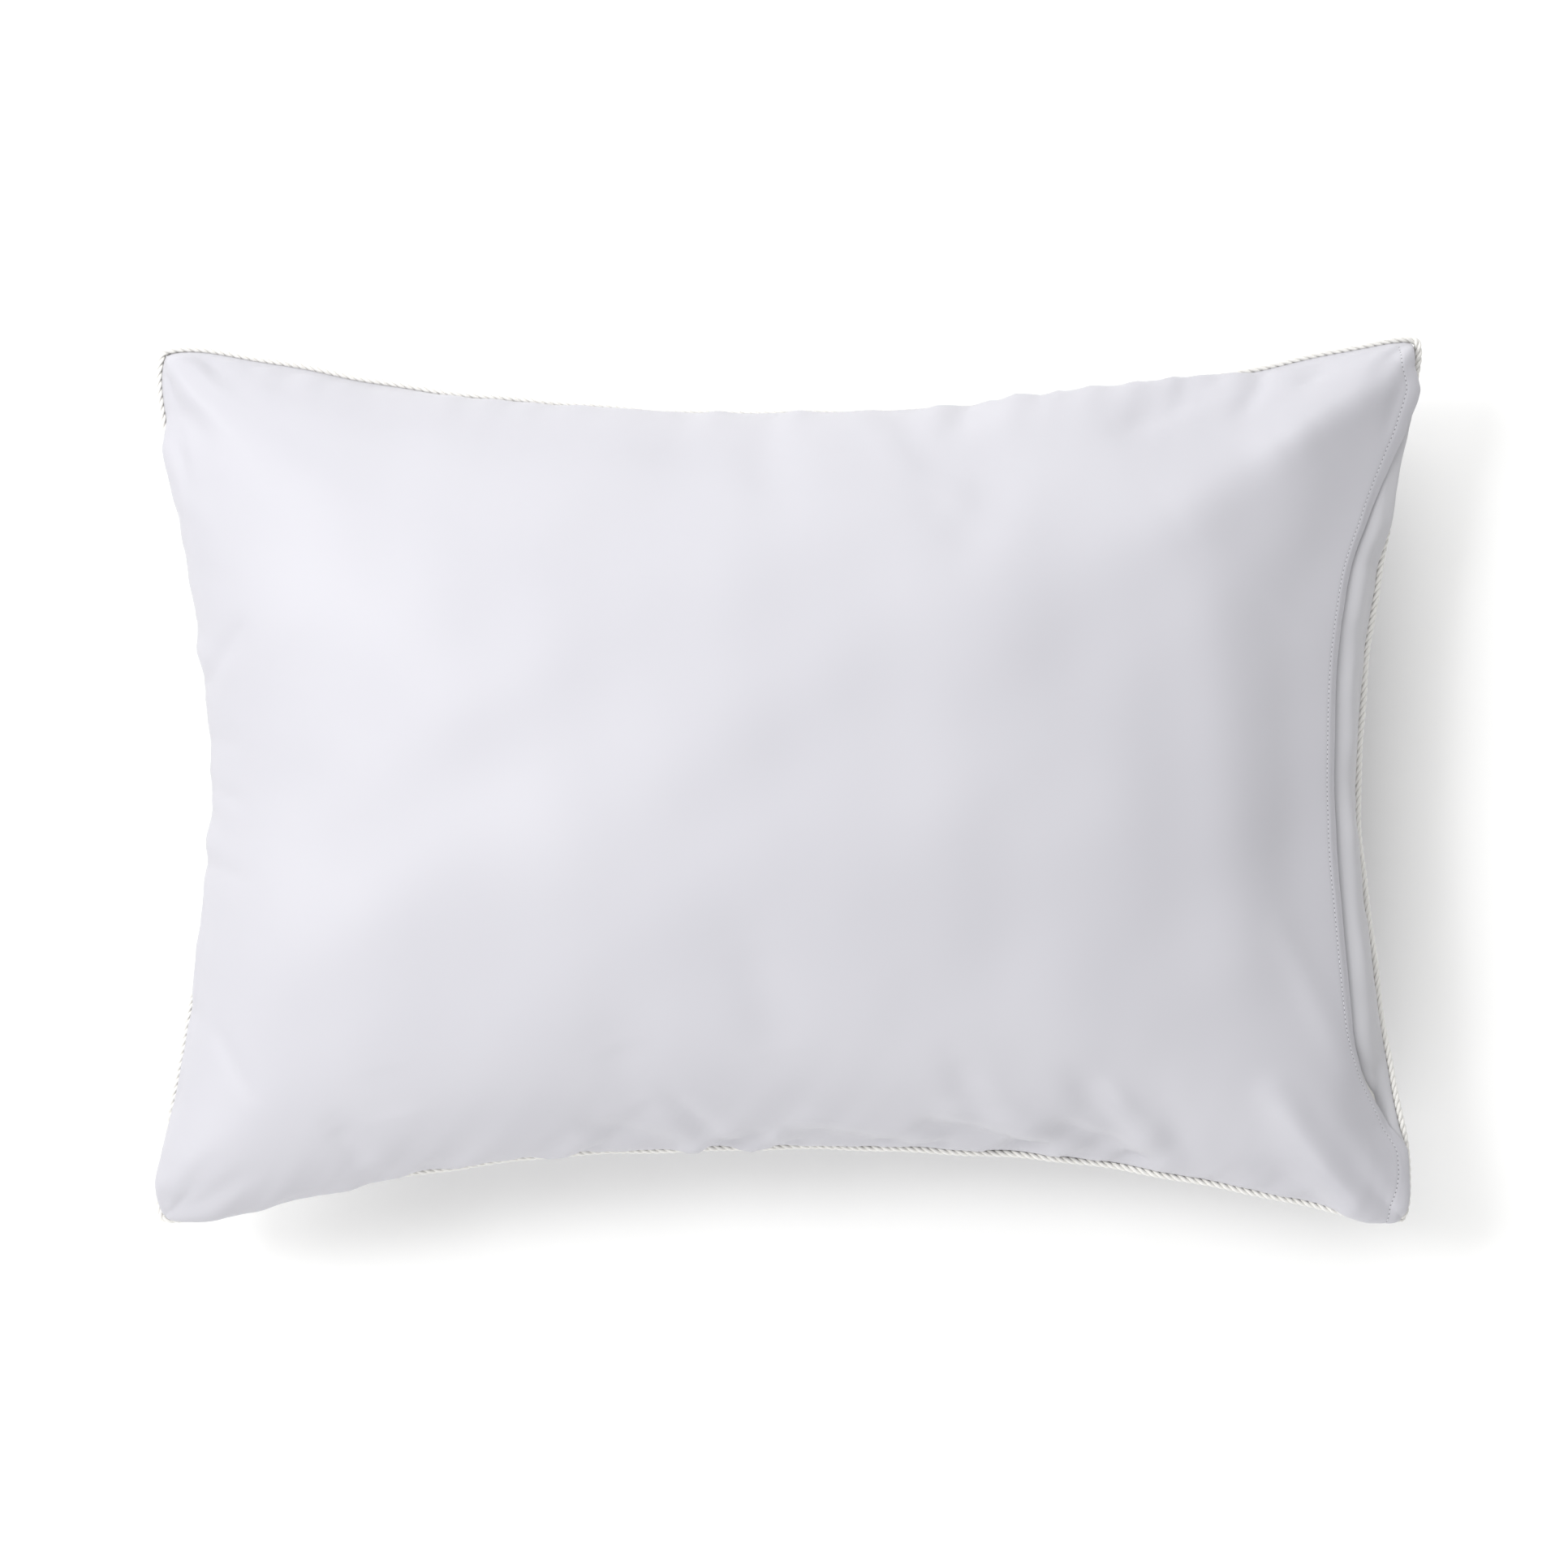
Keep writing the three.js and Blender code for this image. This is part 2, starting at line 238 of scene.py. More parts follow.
GATHER_SLANT = {"back": 0.25, "front": -0.9, "closed": 0.5, "mouth": -0.5}
LONG_WAVE, SHORT_WAVE = 0.034, 0.015
TOP_SEED, BOTTOM_SEED, INSERT_SEED, HOLLOWS_SEED = 11, 23, 31, 5


def gathers(a, b, x, y, seed):
    """Ripples along each side: a random line of the place along the seam, slanted with height, that
    grows from nothing at the seam and dies away with the crown. A seed always gives the same lines."""
    rng = np.random.default_rng(seed)
    c = crown(a, b)
    end_share = end_share_of(a, b)
    grow = smooth(0.0, 0.12, off_seam(a, b))
    total = np.zeros_like(c)
    for side, along, share in (
        ("back", x, (1 - end_share) * (y > 0)),
        ("front", x, (1 - end_share) * (y < 0)),
        ("closed", y, end_share * (x < 0)),
        ("mouth", y, end_share * (x > 0)),
    ):
        u = along + GATHER_SLANT[side] * c * 0.10
        line = 0.8 * wander(u, LONG_WAVE, rng) + 0.2 * wander(u, SHORT_WAVE, rng)
        fade = np.exp(-((off_seam(a, b) / GATHER_REACH[side]) ** 1.5))
        size = np.interp(along, *GATHER[side])
        total = total + share * line * grow * fade * size * MM
    return total


# Long folds: from x, y to x, y in metres, height and half width in millimetres.
FOLDS = [
    (0.322, 0.218, 0.258, 0.176, 5.0, 13),  # ridge out of the mouth's back corner
    (0.276, 0.184, 0.200, 0.134, 3.6, 20),
    (0.322, 0.178, 0.262, 0.090, -4.8, 27),  # the broad valley under it
    (0.222, 0.208, 0.178, 0.186, -3.6, 9),  # pleats that lean over the back seam
    (0.252, 0.214, 0.238, 0.194, -2.0, 6),
    (0.284, 0.224, 0.272, 0.208, -2.2, 6),
    (0.104, 0.196, 0.086, 0.184, -2.2, 9),
    (0.060, 0.192, 0.078, 0.150, -1.2, 10),
    (0.040, 0.185, 0.096, 0.140, 0.9, 9),
    (-0.012, 0.190, -0.008, 0.150, -1.8, 14),
    (0.110, 0.160, 0.090, 0.118, -1.2, 14),
    (-0.092, 0.165, -0.098, 0.075, -0.9, 22),
    (0.216, 0.120, 0.236, -0.090, 2.2, 24),  # where the insert ends inside the case
    (0.262, 0.070, 0.268, -0.070, -1.2, 18),
    (-0.062, -0.166, -0.030, -0.194, -2.6, 6),  # slanted pleats on the front seam
    (-0.104, -0.182, -0.058, -0.190, -2.8, 4.5),
    (-0.018, -0.188, 0.012, -0.195, -3.0, 4.5),
    (0.001, -0.184, 0.080, -0.196, -4.2, 4.5),
    (0.010, -0.177, 0.074, -0.188, 1.6, 5),
    (0.074, -0.182, 0.133, -0.196, -5.0, 5),
    (0.082, -0.172, 0.134, -0.188, 2.2, 6),
    (0.144, -0.184, 0.184, -0.203, -5.0, 5),
    (0.168, -0.163, 0.196, -0.196, 2.4, 7),
    (0.105, -0.163, 0.133, -0.188, 1.6, 7),
    (0.086, -0.146, 0.102, -0.180, -1.6, 9),
    (-0.088, -0.138, -0.074, -0.168, -2.0, 14),
    (-0.018, -0.086, -0.004, -0.140, -2.0, 16),
    (-0.212, -0.150, -0.206, -0.176, -1.6, 16),
    (0.150, -0.156, 0.172, -0.188, -1.6, 8),
    (0.196, -0.170, 0.214, -0.204, -1.2, 7),
    (-0.236, -0.182, -0.222, -0.202, -2.0, 8),
    (0.256, -0.166, 0.300, -0.230, 4.5, 10),  # ridge into the mouth's front corner
    (0.300, -0.150, 0.322, -0.206, -3.2, 15),
    (0.252, -0.206, 0.286, -0.222, -2.4, 8),
    (0.258, -0.080, 0.296, -0.156, 1.4, 8),
    (-0.286, 0.080, -0.308, 0.038, -1.6, 4),  # crease on the closed end
    (-0.302, -0.002, -0.286, -0.012, -1.2, 4),
    (-0.302, 0.024, -0.288, 0.018, -1.0, 4),
    (-0.304, -0.040, -0.284, -0.052, -1.0, 4),
    (-0.300, -0.130, -0.282, -0.164, -1.0, 5),
]


def long_folds(x, y):
    """Each fold is a bell across its line, height * exp(-(distance / width)^2), lower at its ends."""
    total = np.zeros_like(x)
    for x0, y0, x1, y1, height, width in FOLDS:
        dx, dy = x1 - x0, y1 - y0
        along = ((x - x0) * dx + (y - y0) * dy) / (dx * dx + dy * dy)
        t = np.clip(along, 0, 1)
        distance = np.hypot(x - x0 - t * dx, y - y0 - t * dy)
        taper = 1 - 0.45 * (2 * t - 1) ** 4
        total = total + height * MM * taper * np.exp(-((distance / (width * MM)) ** 2))
    return total


# Direction, length, phase and height of each hollow, from 0 to 1.
HOLLOWS = np.random.default_rng(HOLLOWS_SEED).uniform(0, 1, (14, 4))


def soft_hollows(x, y):
    """Broad hollows that hands leave in a fill: crossed slow sines, each up to half a millimetre."""
    total = np.zeros_like(x)
    for turn, stretch, phase, size in HOLLOWS:
        length = 0.055 + 0.085 * stretch
        height = (0.2 + 0.26 * size) * MM
        across = x * np.cos(np.pi * turn) + y * np.sin(np.pi * turn)
        along = -x * np.sin(np.pi * turn) + y * np.cos(np.pi * turn)
        wave = np.sin(2 * np.pi * (across / length + phase))
        total = total + height * wave * np.cos(2 * np.pi * (along / (1.9 * length) + 3 * phase))
    return total


# %% [markdown]
# ## Gathers from a cloth simulation
# Along the seam the flat cut has more cloth than the pulled-in outline needs. How it puckers is hard
# to draw by hand, so a coarse sheet of each panel is simulated: pinned on the seam, blown up by
# pressure, and cut up to a seventh larger near the seam. Only the short ripples of the result are kept,
# as a height map over a and b, because the crowned form itself is already right. The sheets are
# removed again afterwards.

# %% Simulate one panel and keep its ripples
SIM_ROWS, SIM_COLUMNS = 117, 83
SIM_FRAMES = 20
EXTRA_CLOTH = 0.14  # how much larger the cloth is cut near the seam
FORM_BLUR = 40  # so many averagings leave the large form and none of the ripples
RIPPLE_LIMIT = 4 * MM


def blurred(grid, times):
    """A grid averaged with its neighbours in both directions, over and over."""
    for _ in range(times):
        padded = np.pad(grid, 1, mode="edge")
        grid = (padded[:-2, 1:-1] + 2 * padded[1:-1, 1:-1] + padded[2:, 1:-1]) / 4
        padded = np.pad(grid, 1, mode="edge")
        grid = (padded[1:-1, :-2] + 2 * padded[1:-1, 1:-1] + padded[1:-1, 2:]) / 4
    return grid


def simulated_ripples(surface):
    """Height of the ripples, in metres along the normals, on the grid of SIM_ROWS by SIM_COLUMNS."""
    a, b = even_grid(SIM_ROWS, SIM_COLUMNS)
    start = surface(a, b)
    sheet = mesh_from_quads("simulated_sheet", start.reshape(-1, 3), grid_quads(SIM_ROWS, SIM_COLUMNS))
    from_seam = off_seam(a, b).ravel()
    pins = sheet.vertex_groups.new(name="seam")
    pins.add(np.flatnonzero(from_seam < 0.02).tolist(), 1.0, "REPLACE")
    looser = sheet.vertex_groups.new(name="looser")
    for share in np.linspace(0.1, 1, 10):
        near = np.abs(np.exp(-((from_seam / 0.5) ** 2)) - share) <= 0.05
        looser.add(np.flatnonzero(near).tolist(), float(share), "REPLACE")
    cloth = sheet.modifiers.new("cloth", "CLOTH")
    settings = cloth.settings
    settings.quality = 6
    settings.mass = 0.15
    settings.tension_stiffness = settings.compression_stiffness = 20
    settings.shear_stiffness = 8
    settings.bending_stiffness = 0.08
    settings.air_damping = 2
    settings.vertex_group_mass = "seam"
    settings.vertex_group_shrink = "looser"
    settings.shrink_min, settings.shrink_max = 0.0, -EXTRA_CLOTH
    settings.use_pressure = True
    settings.uniform_pressure_force = 4
    settings.effector_weights.gravity = 0
    cloth.collision_settings.use_collision = False
    for frame_number in range(1, SIM_FRAMES + 1):
        bpy.context.scene.frame_set(frame_number)
    result = sheet.evaluated_get(bpy.context.evaluated_depsgraph_get()).data
    moved = np.empty(len(result.vertices) * 3, np.float32)
    result.vertices.foreach_get("co", moved)
    bpy.data.objects.remove(sheet)
    bpy.context.scene.frame_set(1)
    move = ((moved.reshape(start.shape) - start) * grid_normals(start)).sum(-1)
    ripples = blurred(move, 1) - blurred(move, FORM_BLUR)
    print(f"simulated: moved {move.min() / MM:.1f} to {move.max() / MM:.1f} mm,",
          f"ripples {ripples.std() / MM:.2f} mm")
    return np.clip(ripples, -RIPPLE_LIMIT, RIPPLE_LIMIT)


def near_seam(a, b):
    """Nothing on the seam itself, full just inside it, and nothing again over the crown."""
    return smooth(0.0, 0.14, off_seam(a, b)) * (1 - smooth(0.35, 0.7, off_seam(a, b)))


def lookup(grid, a, b):
    """A height map read between its points, weighting the four around each place."""
    i = np.clip((a + 1) / 2 * (grid.shape[0] - 1), 0, grid.shape[0] - 1.001)
    j = np.clip((b + 1) / 2 * (grid.shape[1] - 1), 0, grid.shape[1] - 1.001)
    i0, j0 = i.astype(int), j.astype(int)
    u, v = i - i0, j - j0
    return ((1 - u) * (1 - v) * grid[i0, j0] + u * (1 - v) * grid[i0 + 1, j0]
            + (1 - u) * v * grid[i0, j0 + 1] + u * v * grid[i0 + 1, j0 + 1])


def finer(grid, times=4):
    """The same height map with more points, smoothed between them."""
    a, b = even_grid(grid.shape[0] * times, grid.shape[1] * times)
    return blurred(lookup(grid, a, b), 2 * times)


# %% The two faces of the case, as functions of a and b
def unit(vectors):
    """Vectors scaled to a length of 1."""
    return vectors / (np.linalg.norm(vectors, axis=-1, keepdims=True) + 1e-12)


def grid_normals(points):
    """Unit normals of a grid: the cross product of its two gradients."""
    along, across = np.gradient(points, axis=0), np.gradient(points, axis=1)
    return unit(np.cross(along, across))


def plain_top(a, b, depth=0.0, inset=PANEL_INSET, rim=RIM):
    """The crowned form above the seam, depth under the outer face."""
    x, y = plan(a, b, inset + depth)
    return np.stack([x, y, SEAM_Z + rim + (TOP_CROWN - depth) * crown(a, b)], -1)


def plain_bottom(a, b, depth=0.0, inset=PANEL_INSET, rim=RIM, softness=5 * MM):
    """The crowned form below the seam, with a soft step down to the flat patch that it rests on."""
    x, y = plan(a, b, inset + depth)
    z = SEAM_Z - rim - (BOTTOM_CROWN - depth) * crown(a, b) - depth
    z = (z + np.sqrt(z * z + softness**2)) / 2 - 0.3 * MM
    return np.stack([x, y, np.maximum(z, 0) + depth], -1)


def normals_of(surface, a, b, step=1e-3):
    """Normals of a surface function, from points a small step to each side."""
    a0, a1 = np.clip(a - step, -1, 1), np.clip(a + step, -1, 1)
    b0, b1 = np.clip(b - step, -1, 1), np.clip(b + step, -1, 1)
    return unit(np.cross(surface(a1, b) - surface(a0, b), surface(a, b1) - surface(a, b0)))


def relieved(normals, height):
    """The move of a relief: a ridge rises mostly upwards, with a third of the normal's sideways part,
    so that it doesn't push cloth over the seam, and a hollow goes in along the normal itself."""
    sideways = 0.35 + 0.65 * smooth(-0.6 * MM, 0.6 * MM, -height)
    direction = np.stack([normals[..., 0] * sideways, normals[..., 1] * sideways, normals[..., 2]], -1)
    return unit(direction) * height[..., None]


def at_rim(a, b, reach=0.08):
    """1 on the seam, falling to 0 away from it."""
    return np.exp(-off_seam(a, b) / reach)


TOP_RIPPLES = BOTTOM_RIPPLES = np.zeros((2, 2))  # filled in once the simulation has run
HUG = np.array([0.7, 0.7, 1.1]) * MM  # how far the cloth's edge moves onto the cord's shoulder
BOTTOM_LEAN = 2.6 * MM
FLOOR_GAP = 0.2 * MM  # the cloth stops this far over the floor


def hugging(normals, upward):
    """The move of an edge against the cord: outwards with the normal, and up or down."""
    outward = unit(normals * [1, 1, 0])
    return (outward + [0, 0, upward]) * HUG


def unfolded_top(a, b):
    """The upper cloth before any fold: the plain form, the seam's wander and the overhang."""
    points = plain_top(a, b)
    x, y = points[..., 0], points[..., 1]
    edge_move = seam_wander(x, y) + hugging(normals_of(plain_top, a, b), 1)
    return points + edge_move * at_rim(a, b)[..., None] + lean(a, b, x, y)


def case_top(a, b):
    """The upper cloth: the plain form, plus the seam's wander, the overhang, the gathers and folds."""
    points = plain_top(a, b)
    x, y = points[..., 0], points[..., 1]
    folds = (long_folds(x, y) + soft_hollows(x, y)) * smooth(0.0, 0.14, off_seam(a, b))
    relief = gathers(a, b, x, y, TOP_SEED) + folds + lookup(TOP_RIPPLES, a, b) * near_seam(a, b)
    return unfolded_top(a, b) + relieved(normals_of(plain_top, a, b), relief)


def upturned_bottom(a, b):
    """The lower crown mirrored in the seam's plane, so that pressure blows it up and not in."""
    return plain_bottom(a, b) * [1, 1, -1] + [0, 0, 2 * SEAM_Z]


def case_bottom(a, b):
    """The lower cloth, with a small even overhang, gathers, and no folds where it rests."""
    points = plain_bottom(a, b)
    x, y = points[..., 0], points[..., 1]
    overhang = push_out(a, b, BOTTOM_LEAN, BOTTOM_LEAN)
    relief = gathers(a, b, x, y, BOTTOM_SEED) + lookup(BOTTOM_RIPPLES, a, b) * near_seam(a, b)
    normals = normals_of(plain_bottom, a, b)
    edge_move = seam_wander(x, y) + hugging(normals, -1)
    points = points + edge_move * at_rim(a, b)[..., None] + overhang
    points = points - normals * relief[..., None]
    points[..., 2] = np.maximum(points[..., 2], FLOOR_GAP)
    return points


# %% [markdown]
# ## Turning numbers into meshes
# A grid of points becomes a mesh of quads. Filling the mesh's arrays at once is far quicker than
# adding faces one by one. Each piece keeps its place in its mesh, so its object stays at the origin.

# %% Mesh helpers
def mesh_from_quads(name, points, quads, uv=None, smooth_shading=True):
    """A mesh from an array of points and an array of quads, with one UV per point if given."""
    mesh = bpy.data.meshes.new(name)
    mesh.vertices.add(len(points))
    mesh.vertices.foreach_set("co", np.asarray(points, np.float32).ravel())
    mesh.loops.add(quads.size)
    mesh.loops.foreach_set("vertex_index", quads.astype(np.int32).ravel())
    mesh.polygons.add(len(quads))
    mesh.polygons.foreach_set("loop_start", np.arange(0, quads.size, 4, dtype=np.int32))
    mesh.polygons.foreach_set("use_smooth", np.full(len(quads), smooth_shading))
    if uv is not None:
        layer = mesh.uv_layers.new(name="cloth")
        layer.data.foreach_set("uv", np.asarray(uv, np.float32)[quads.ravel()].ravel())
    mesh.update(calc_edges=True)
    mesh.validate()
    piece = bpy.data.objects.new(name, mesh)
    bpy.context.scene.collection.objects.link(piece)
    return piece


def add_uv(piece, name, values):
    """One more UV map on a mesh, from two values for each point."""
    mesh = piece.data
    corners = np.empty(len(mesh.loops), np.int32)
    mesh.loops.foreach_get("vertex_index", corners)
    layer = mesh.uv_layers.new(name=name)
    layer.data.foreach_set("uv", np.asarray(values, np.float32)[corners].ravel())


def grid_quads(rows, columns, wrap_rows=False, wrap_columns=False):
    """Corner numbers of the quads of a grid, closed on itself where it wraps."""
    i = np.arange(rows if wrap_rows else rows - 1)
    j = np.arange(columns if wrap_columns else columns - 1)
    i, j = np.meshgrid(i, j, indexing="ij")
    i1, j1 = (i + 1) % rows, (j + 1) % columns
    corners = [i * columns + j, i1 * columns + j, i1 * columns + j1, i * columns + j1]
    return np.stack(corners, -1).reshape(-1, 4)


def cloth_sheet(name, points, uv, material, thickness=0.35 * MM, turned=False):
    """A grid of points as a sheet of cloth with a thickness. turned flips it to face down."""
    quads = grid_quads(*points.shape[:2])
    if turned:
        quads = quads[:, ::-1]
    piece = mesh_from_quads(name, points.reshape(-1, 3), quads, uv.reshape(-1, 2))
    solid = piece.modifiers.new("thickness", "SOLIDIFY")
    solid.thickness = thickness
    solid.offset = -1
    piece.data.materials.append(material)
    return piece


def flat_cut(a, b):
    """UVs in metres on the flat cut: the ellipse's angle runs nearly evenly along the cloth."""
    return np.stack([a * FLAT_LENGTH / 2, b * FLAT_WIDTH / 2], -1)


def seam_loop(inset, count_long=340, count_wide=240):
    """The seam's outline once round, anticlockwise from the closed end's front corner."""
    u, v = np.linspace(-1, 1, count_long), np.linspace(-1, 1, count_wide)
    a = np.concatenate([u[:-1], np.ones(count_wide - 1), u[:0:-1], -np.ones(count_wide - 1)])
    b = np.concatenate([-np.ones(count_long - 1), v[:-1], np.ones(count_long - 1), v[:0:-1]])
    x, y = plan(a, b, inset)
    points = np.stack([x, y, np.full_like(x, SEAM_Z)], -1)
    return points + seam_wander(x, y)


def way_along(points):
    """The way walked along a path up to each of its points."""
    return np.concatenate([[0], np.cumsum(np.linalg.norm(np.diff(points, axis=0), axis=1))])


def even_steps(points, step, closed=False):
    """A path walked again in even steps of about the given length, and its whole length."""
    if closed:
        points = np.concatenate([points, points[:1]])
    lengths = way_along(points)
    count = int(round(lengths[-1] / step))
    places = np.linspace(0, lengths[-1], count + 1)
    walked = np.stack([np.interp(places, lengths, points[:, k]) for k in range(3)], -1)
    return (walked[:-1] if closed else walked), lengths[-1]


def tube_rings(centres, side, up, radius, sides):
    """Rings of points around a path: centre + radius * (cos * side + sin * up)."""
    angle = np.arange(sides) * 2 * np.pi / sides
    ring = np.cos(angle)[None, :, None] * side[:, None] + np.sin(angle)[None, :, None] * up[:, None]
    return centres[:, None] + radius * ring


def dress(piece, node_names, body):
    """Says which plain nodes a piece stands for and hides them, and gives the piece what it moves with."""
    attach(piece, body)
    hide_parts(*node_names)
    faces = sum(len(p.vertices) - 2 for p in piece.data.polygons)
    print(f"{piece.name}: {faces} triangles, for {', '.join(node_names)}")
    return piece


# %% Run the simulation for both panels
TOP_RIPPLES = finer(simulated_ripples(unfolded_top))
BOTTOM_RIPPLES = finer(simulated_ripples(upturned_bottom))

# %% [markdown]
# ## Finishes
# Satin floats its threads on the face, so it throws back a broad soft gleam and looks smooth. A
# principled shader with middling roughness and a little sheen does that, and a very fine weave and a
# slow drift in tone keep it from looking like paint. Cord yarn is brighter and rougher, because its
# filaments scatter the light.

# %% Shader helpers
def new_material(name, colour, roughness, **settings):
    """A principled material. Values that are the same all over are set on the shader itself."""
    material = bpy.data.materials.new(name)
    material.use_nodes = True
    shader = material.node_tree.nodes["Principled BSDF"]
    shader.inputs["Base Color"].default_value = (*colour, 1)
    shader.inputs["Roughness"].default_value = roughness
    for socket, value in settings.items():
        shader.inputs[socket.replace("_", " ")].default_value = value
    return material, material.node_tree, shader


def add_node(tree, kind, **settings):
    """A node with its settings: each names a property of the node or, if it has none, a socket."""
    node = tree.nodes.new(kind)
    for key, value in settings.items():
        if hasattr(node, key):
            setattr(node, key, value)
        else:
            node.inputs[key.replace("_", " ")].default_value = value
    return node


def two_tones(tree, shader, value, light, dark, low=0.0, high=1.0):
    """Base colour between two tones: dark where a value is below low, light where it is above high."""
    ramp = add_node(tree, "ShaderNodeValToRGB")
    first, last = ramp.color_ramp.elements
    first.position, last.position = low, high
    first.color, last.color = (*dark, 1), (*light, 1)
    tree.links.new(value, ramp.inputs["Fac"])
    tree.links.new(ramp.outputs["Color"], shader.inputs["Base Color"])


def bumped(tree, shader, height, strength, distance):
    """Shading as if the surface rose and fell with a height."""
    node = add_node(tree, "ShaderNodeBump", Strength=strength, Distance=distance)
    tree.links.new(height, node.inputs["Height"])
    tree.links.new(node.outputs["Normal"], shader.inputs["Normal"])


def tone_drift(tree, shader, light, dark, scale):
    """Base colour that drifts between two near tones, by a slow noise on object coordinates."""
    place = add_node(tree, "ShaderNodeTexCoord")
    noise = add_node(tree, "ShaderNodeTexNoise", Scale=scale, Detail=2.0)
    tree.links.new(place.outputs["Object"], noise.inputs["Vector"])
    two_tones(tree, shader, noise.outputs["Fac"], light, dark, 0.35, 0.65)


WAVE_SCALE = 0.314  # a wave texture of scale 1 has 20 / (2 pi) bands to the metre, so this makes it 1


def weave_bump(tree, shader, threads_per_metre, strength, distance):
    """Two crossed waves on the cloth's own UVs, as fine as its threads, as a bump."""
    place = add_node(tree, "ShaderNodeUVMap", uv_map="cloth")
    height = add_node(tree, "ShaderNodeMath", operation="ADD")
    scale = threads_per_metre * WAVE_SCALE
    for axis, direction in enumerate("XY"):
        wave = add_node(tree, "ShaderNodeTexWave", bands_direction=direction, Scale=scale)
        tree.links.new(place.outputs["UV"], wave.inputs["Vector"])
        tree.links.new(wave.outputs["Fac"], height.inputs[axis])
    bumped(tree, shader, height.outputs["Value"], strength, distance)


# %% Satin, cord, thread and cotton
def satin(name, light, dark, roughness):
    """Satin of a colour, with a soft gleam and a weave too fine to see from afar."""
    material, tree, shader = new_material(
        name, light, roughness, Sheen_Weight=0.05, Sheen_Roughness=0.45, Specular_IOR_Level=0.25)
    tone_drift(tree, shader, light, dark, 7.0)
    weave_bump(tree, shader, 2400, 0.06, 0.06 * MM)
    return material


def paint_needle_hole_shade(material, pitch, radius, hole_shade):
    """Painted shade of the needle holes: dark dots at every pitch along the hem's own UVs, where u is the
    way along the stitches and v across.
    """
    tree = material.node_tree
    shader = tree.nodes["Principled BSDF"]
    cloth_colour = shader.inputs["Base Color"].links[0].from_socket
    place = add_node(tree, "ShaderNodeUVMap", uv_map="hem")
    parts = add_node(tree, "ShaderNodeSeparateXYZ")
    tree.links.new(place.outputs["UV"], parts.inputs["Vector"])
    value = parts.outputs["X"]
    for operation, number in (("DIVIDE", pitch), ("FRACT", 0), ("SUBTRACT", 0.5), ("MULTIPLY", pitch)):
        step = add_node(tree, "ShaderNodeMath", operation=operation)
        step.inputs[1].default_value = number
        tree.links.new(value, step.inputs[0])
        value = step.outputs["Value"]
    offset = add_node(tree, "ShaderNodeCombineXYZ")
    tree.links.new(value, offset.inputs["X"])
    tree.links.new(parts.outputs["Y"], offset.inputs["Y"])
    distance = add_node(tree, "ShaderNodeVectorMath", operation="LENGTH")
    tree.links.new(offset.outputs["Vector"], distance.inputs[0])
    soft_rim = add_node(tree, "ShaderNodeMapRange", From_Min=radius * 0.5, From_Max=radius)
    tree.links.new(distance.outputs["Value"], soft_rim.inputs["Value"])
    mix = add_node(tree, "ShaderNodeMix", data_type="RGBA")
    tree.links.new(soft_rim.outputs["Result"], mix.inputs["Factor"])
    # the dots' dark colour is painted shade inside the needle holes
    mix.inputs["A"].default_value = (hole_shade, hole_shade, hole_shade * 1.04, 1)
    tree.links.new(cloth_colour, mix.inputs["B"])
    tree.links.new(mix.outputs["Result"], shader.inputs["Base Color"])


SATIN_LOOK = dict(light=(0.498, 0.494, 0.527), dark=(0.483, 0.479, 0.513), roughness=0.46)
SATIN = satin("satin", **SATIN_LOOK)
# The flap's satin is a lighter copy of the same satin: painted light, for the light its strip catches
# between the hem and the cord.
FLAP_SATIN_PAINTED_LIGHTER = satin("satin of the flap, painted lighter", (0.512, 0.510, 0.533), (0.498, 0.496, 0.519), 0.48)


def yarn(name, light, dark, roughness, bands):
    """Twisted yarn: a fine wave along the cord's own UVs marks its filaments."""
    material, tree, shader = new_material(name, light, roughness, Sheen_Weight=0.3, Sheen_Roughness=0.5)
    place = add_node(tree, "ShaderNodeUVMap", uv_map="cloth")
    wave = add_node(tree, "ShaderNodeTexWave", bands_direction="DIAGONAL", Scale=bands, Distortion=1.5)
    tree.links.new(place.outputs["UV"], wave.inputs["Vector"])
    two_tones(tree, shader, wave.outputs["Fac"], light, dark)
    bumped(tree, shader, wave.outputs["Fac"], 0.35, 0.1 * MM)
    return material


CORD_YARN = yarn("cord yarn", (0.82, 0.81, 0.785), (0.66, 0.65, 0.62), 0.5, 700)
# The sewing thread is lighter than the satin it sews: that lightness is painted sheen of the thread.
SEWING_THREAD = yarn("sewing thread", (0.66, 0.66, 0.69), (0.55, 0.55, 0.58), 0.6, 1500)


def cotton(name, light, dark, roughness, threads, strength):
    """Plain matt cotton or fibre, with threads so many to the metre and a weave of some strength."""
    material, tree, shader = new_material(name, light, roughness, Sheen_Weight=0.1)
    tone_drift(tree, shader, light, dark, 25.0)
    weave_bump(tree, shader, threads, strength, 0.15 * MM)
    return material


TAPE_COTTON = cotton("tape cotton", (0.72, 0.70, 0.66), (0.66, 0.64, 0.60), 0.9, 900, 0.5)
TICKING = cotton("ticking", (0.74, 0.73, 0.70), (0.70, 0.69, 0.66), 0.85, 1100, 0.35)
FIBRE = cotton("fill fibre", (0.80, 0.80, 0.78), (0.70, 0.70, 0.68), 0.95, 300, 0.8)

# %% [markdown]
# ## The mouth of the case
# The upper panel stops short of the end seam. Its edge is turned under and stitched down: a hem 9 mm
# wide. In the middle of the end the hem stands steep against the fill, so it looks narrow from above.
# Near both corners the case is nearly flat, and the hem lies close to the seam. Both lines are
# functions of b, and the hem's width in a follows from how fast the cloth runs there.

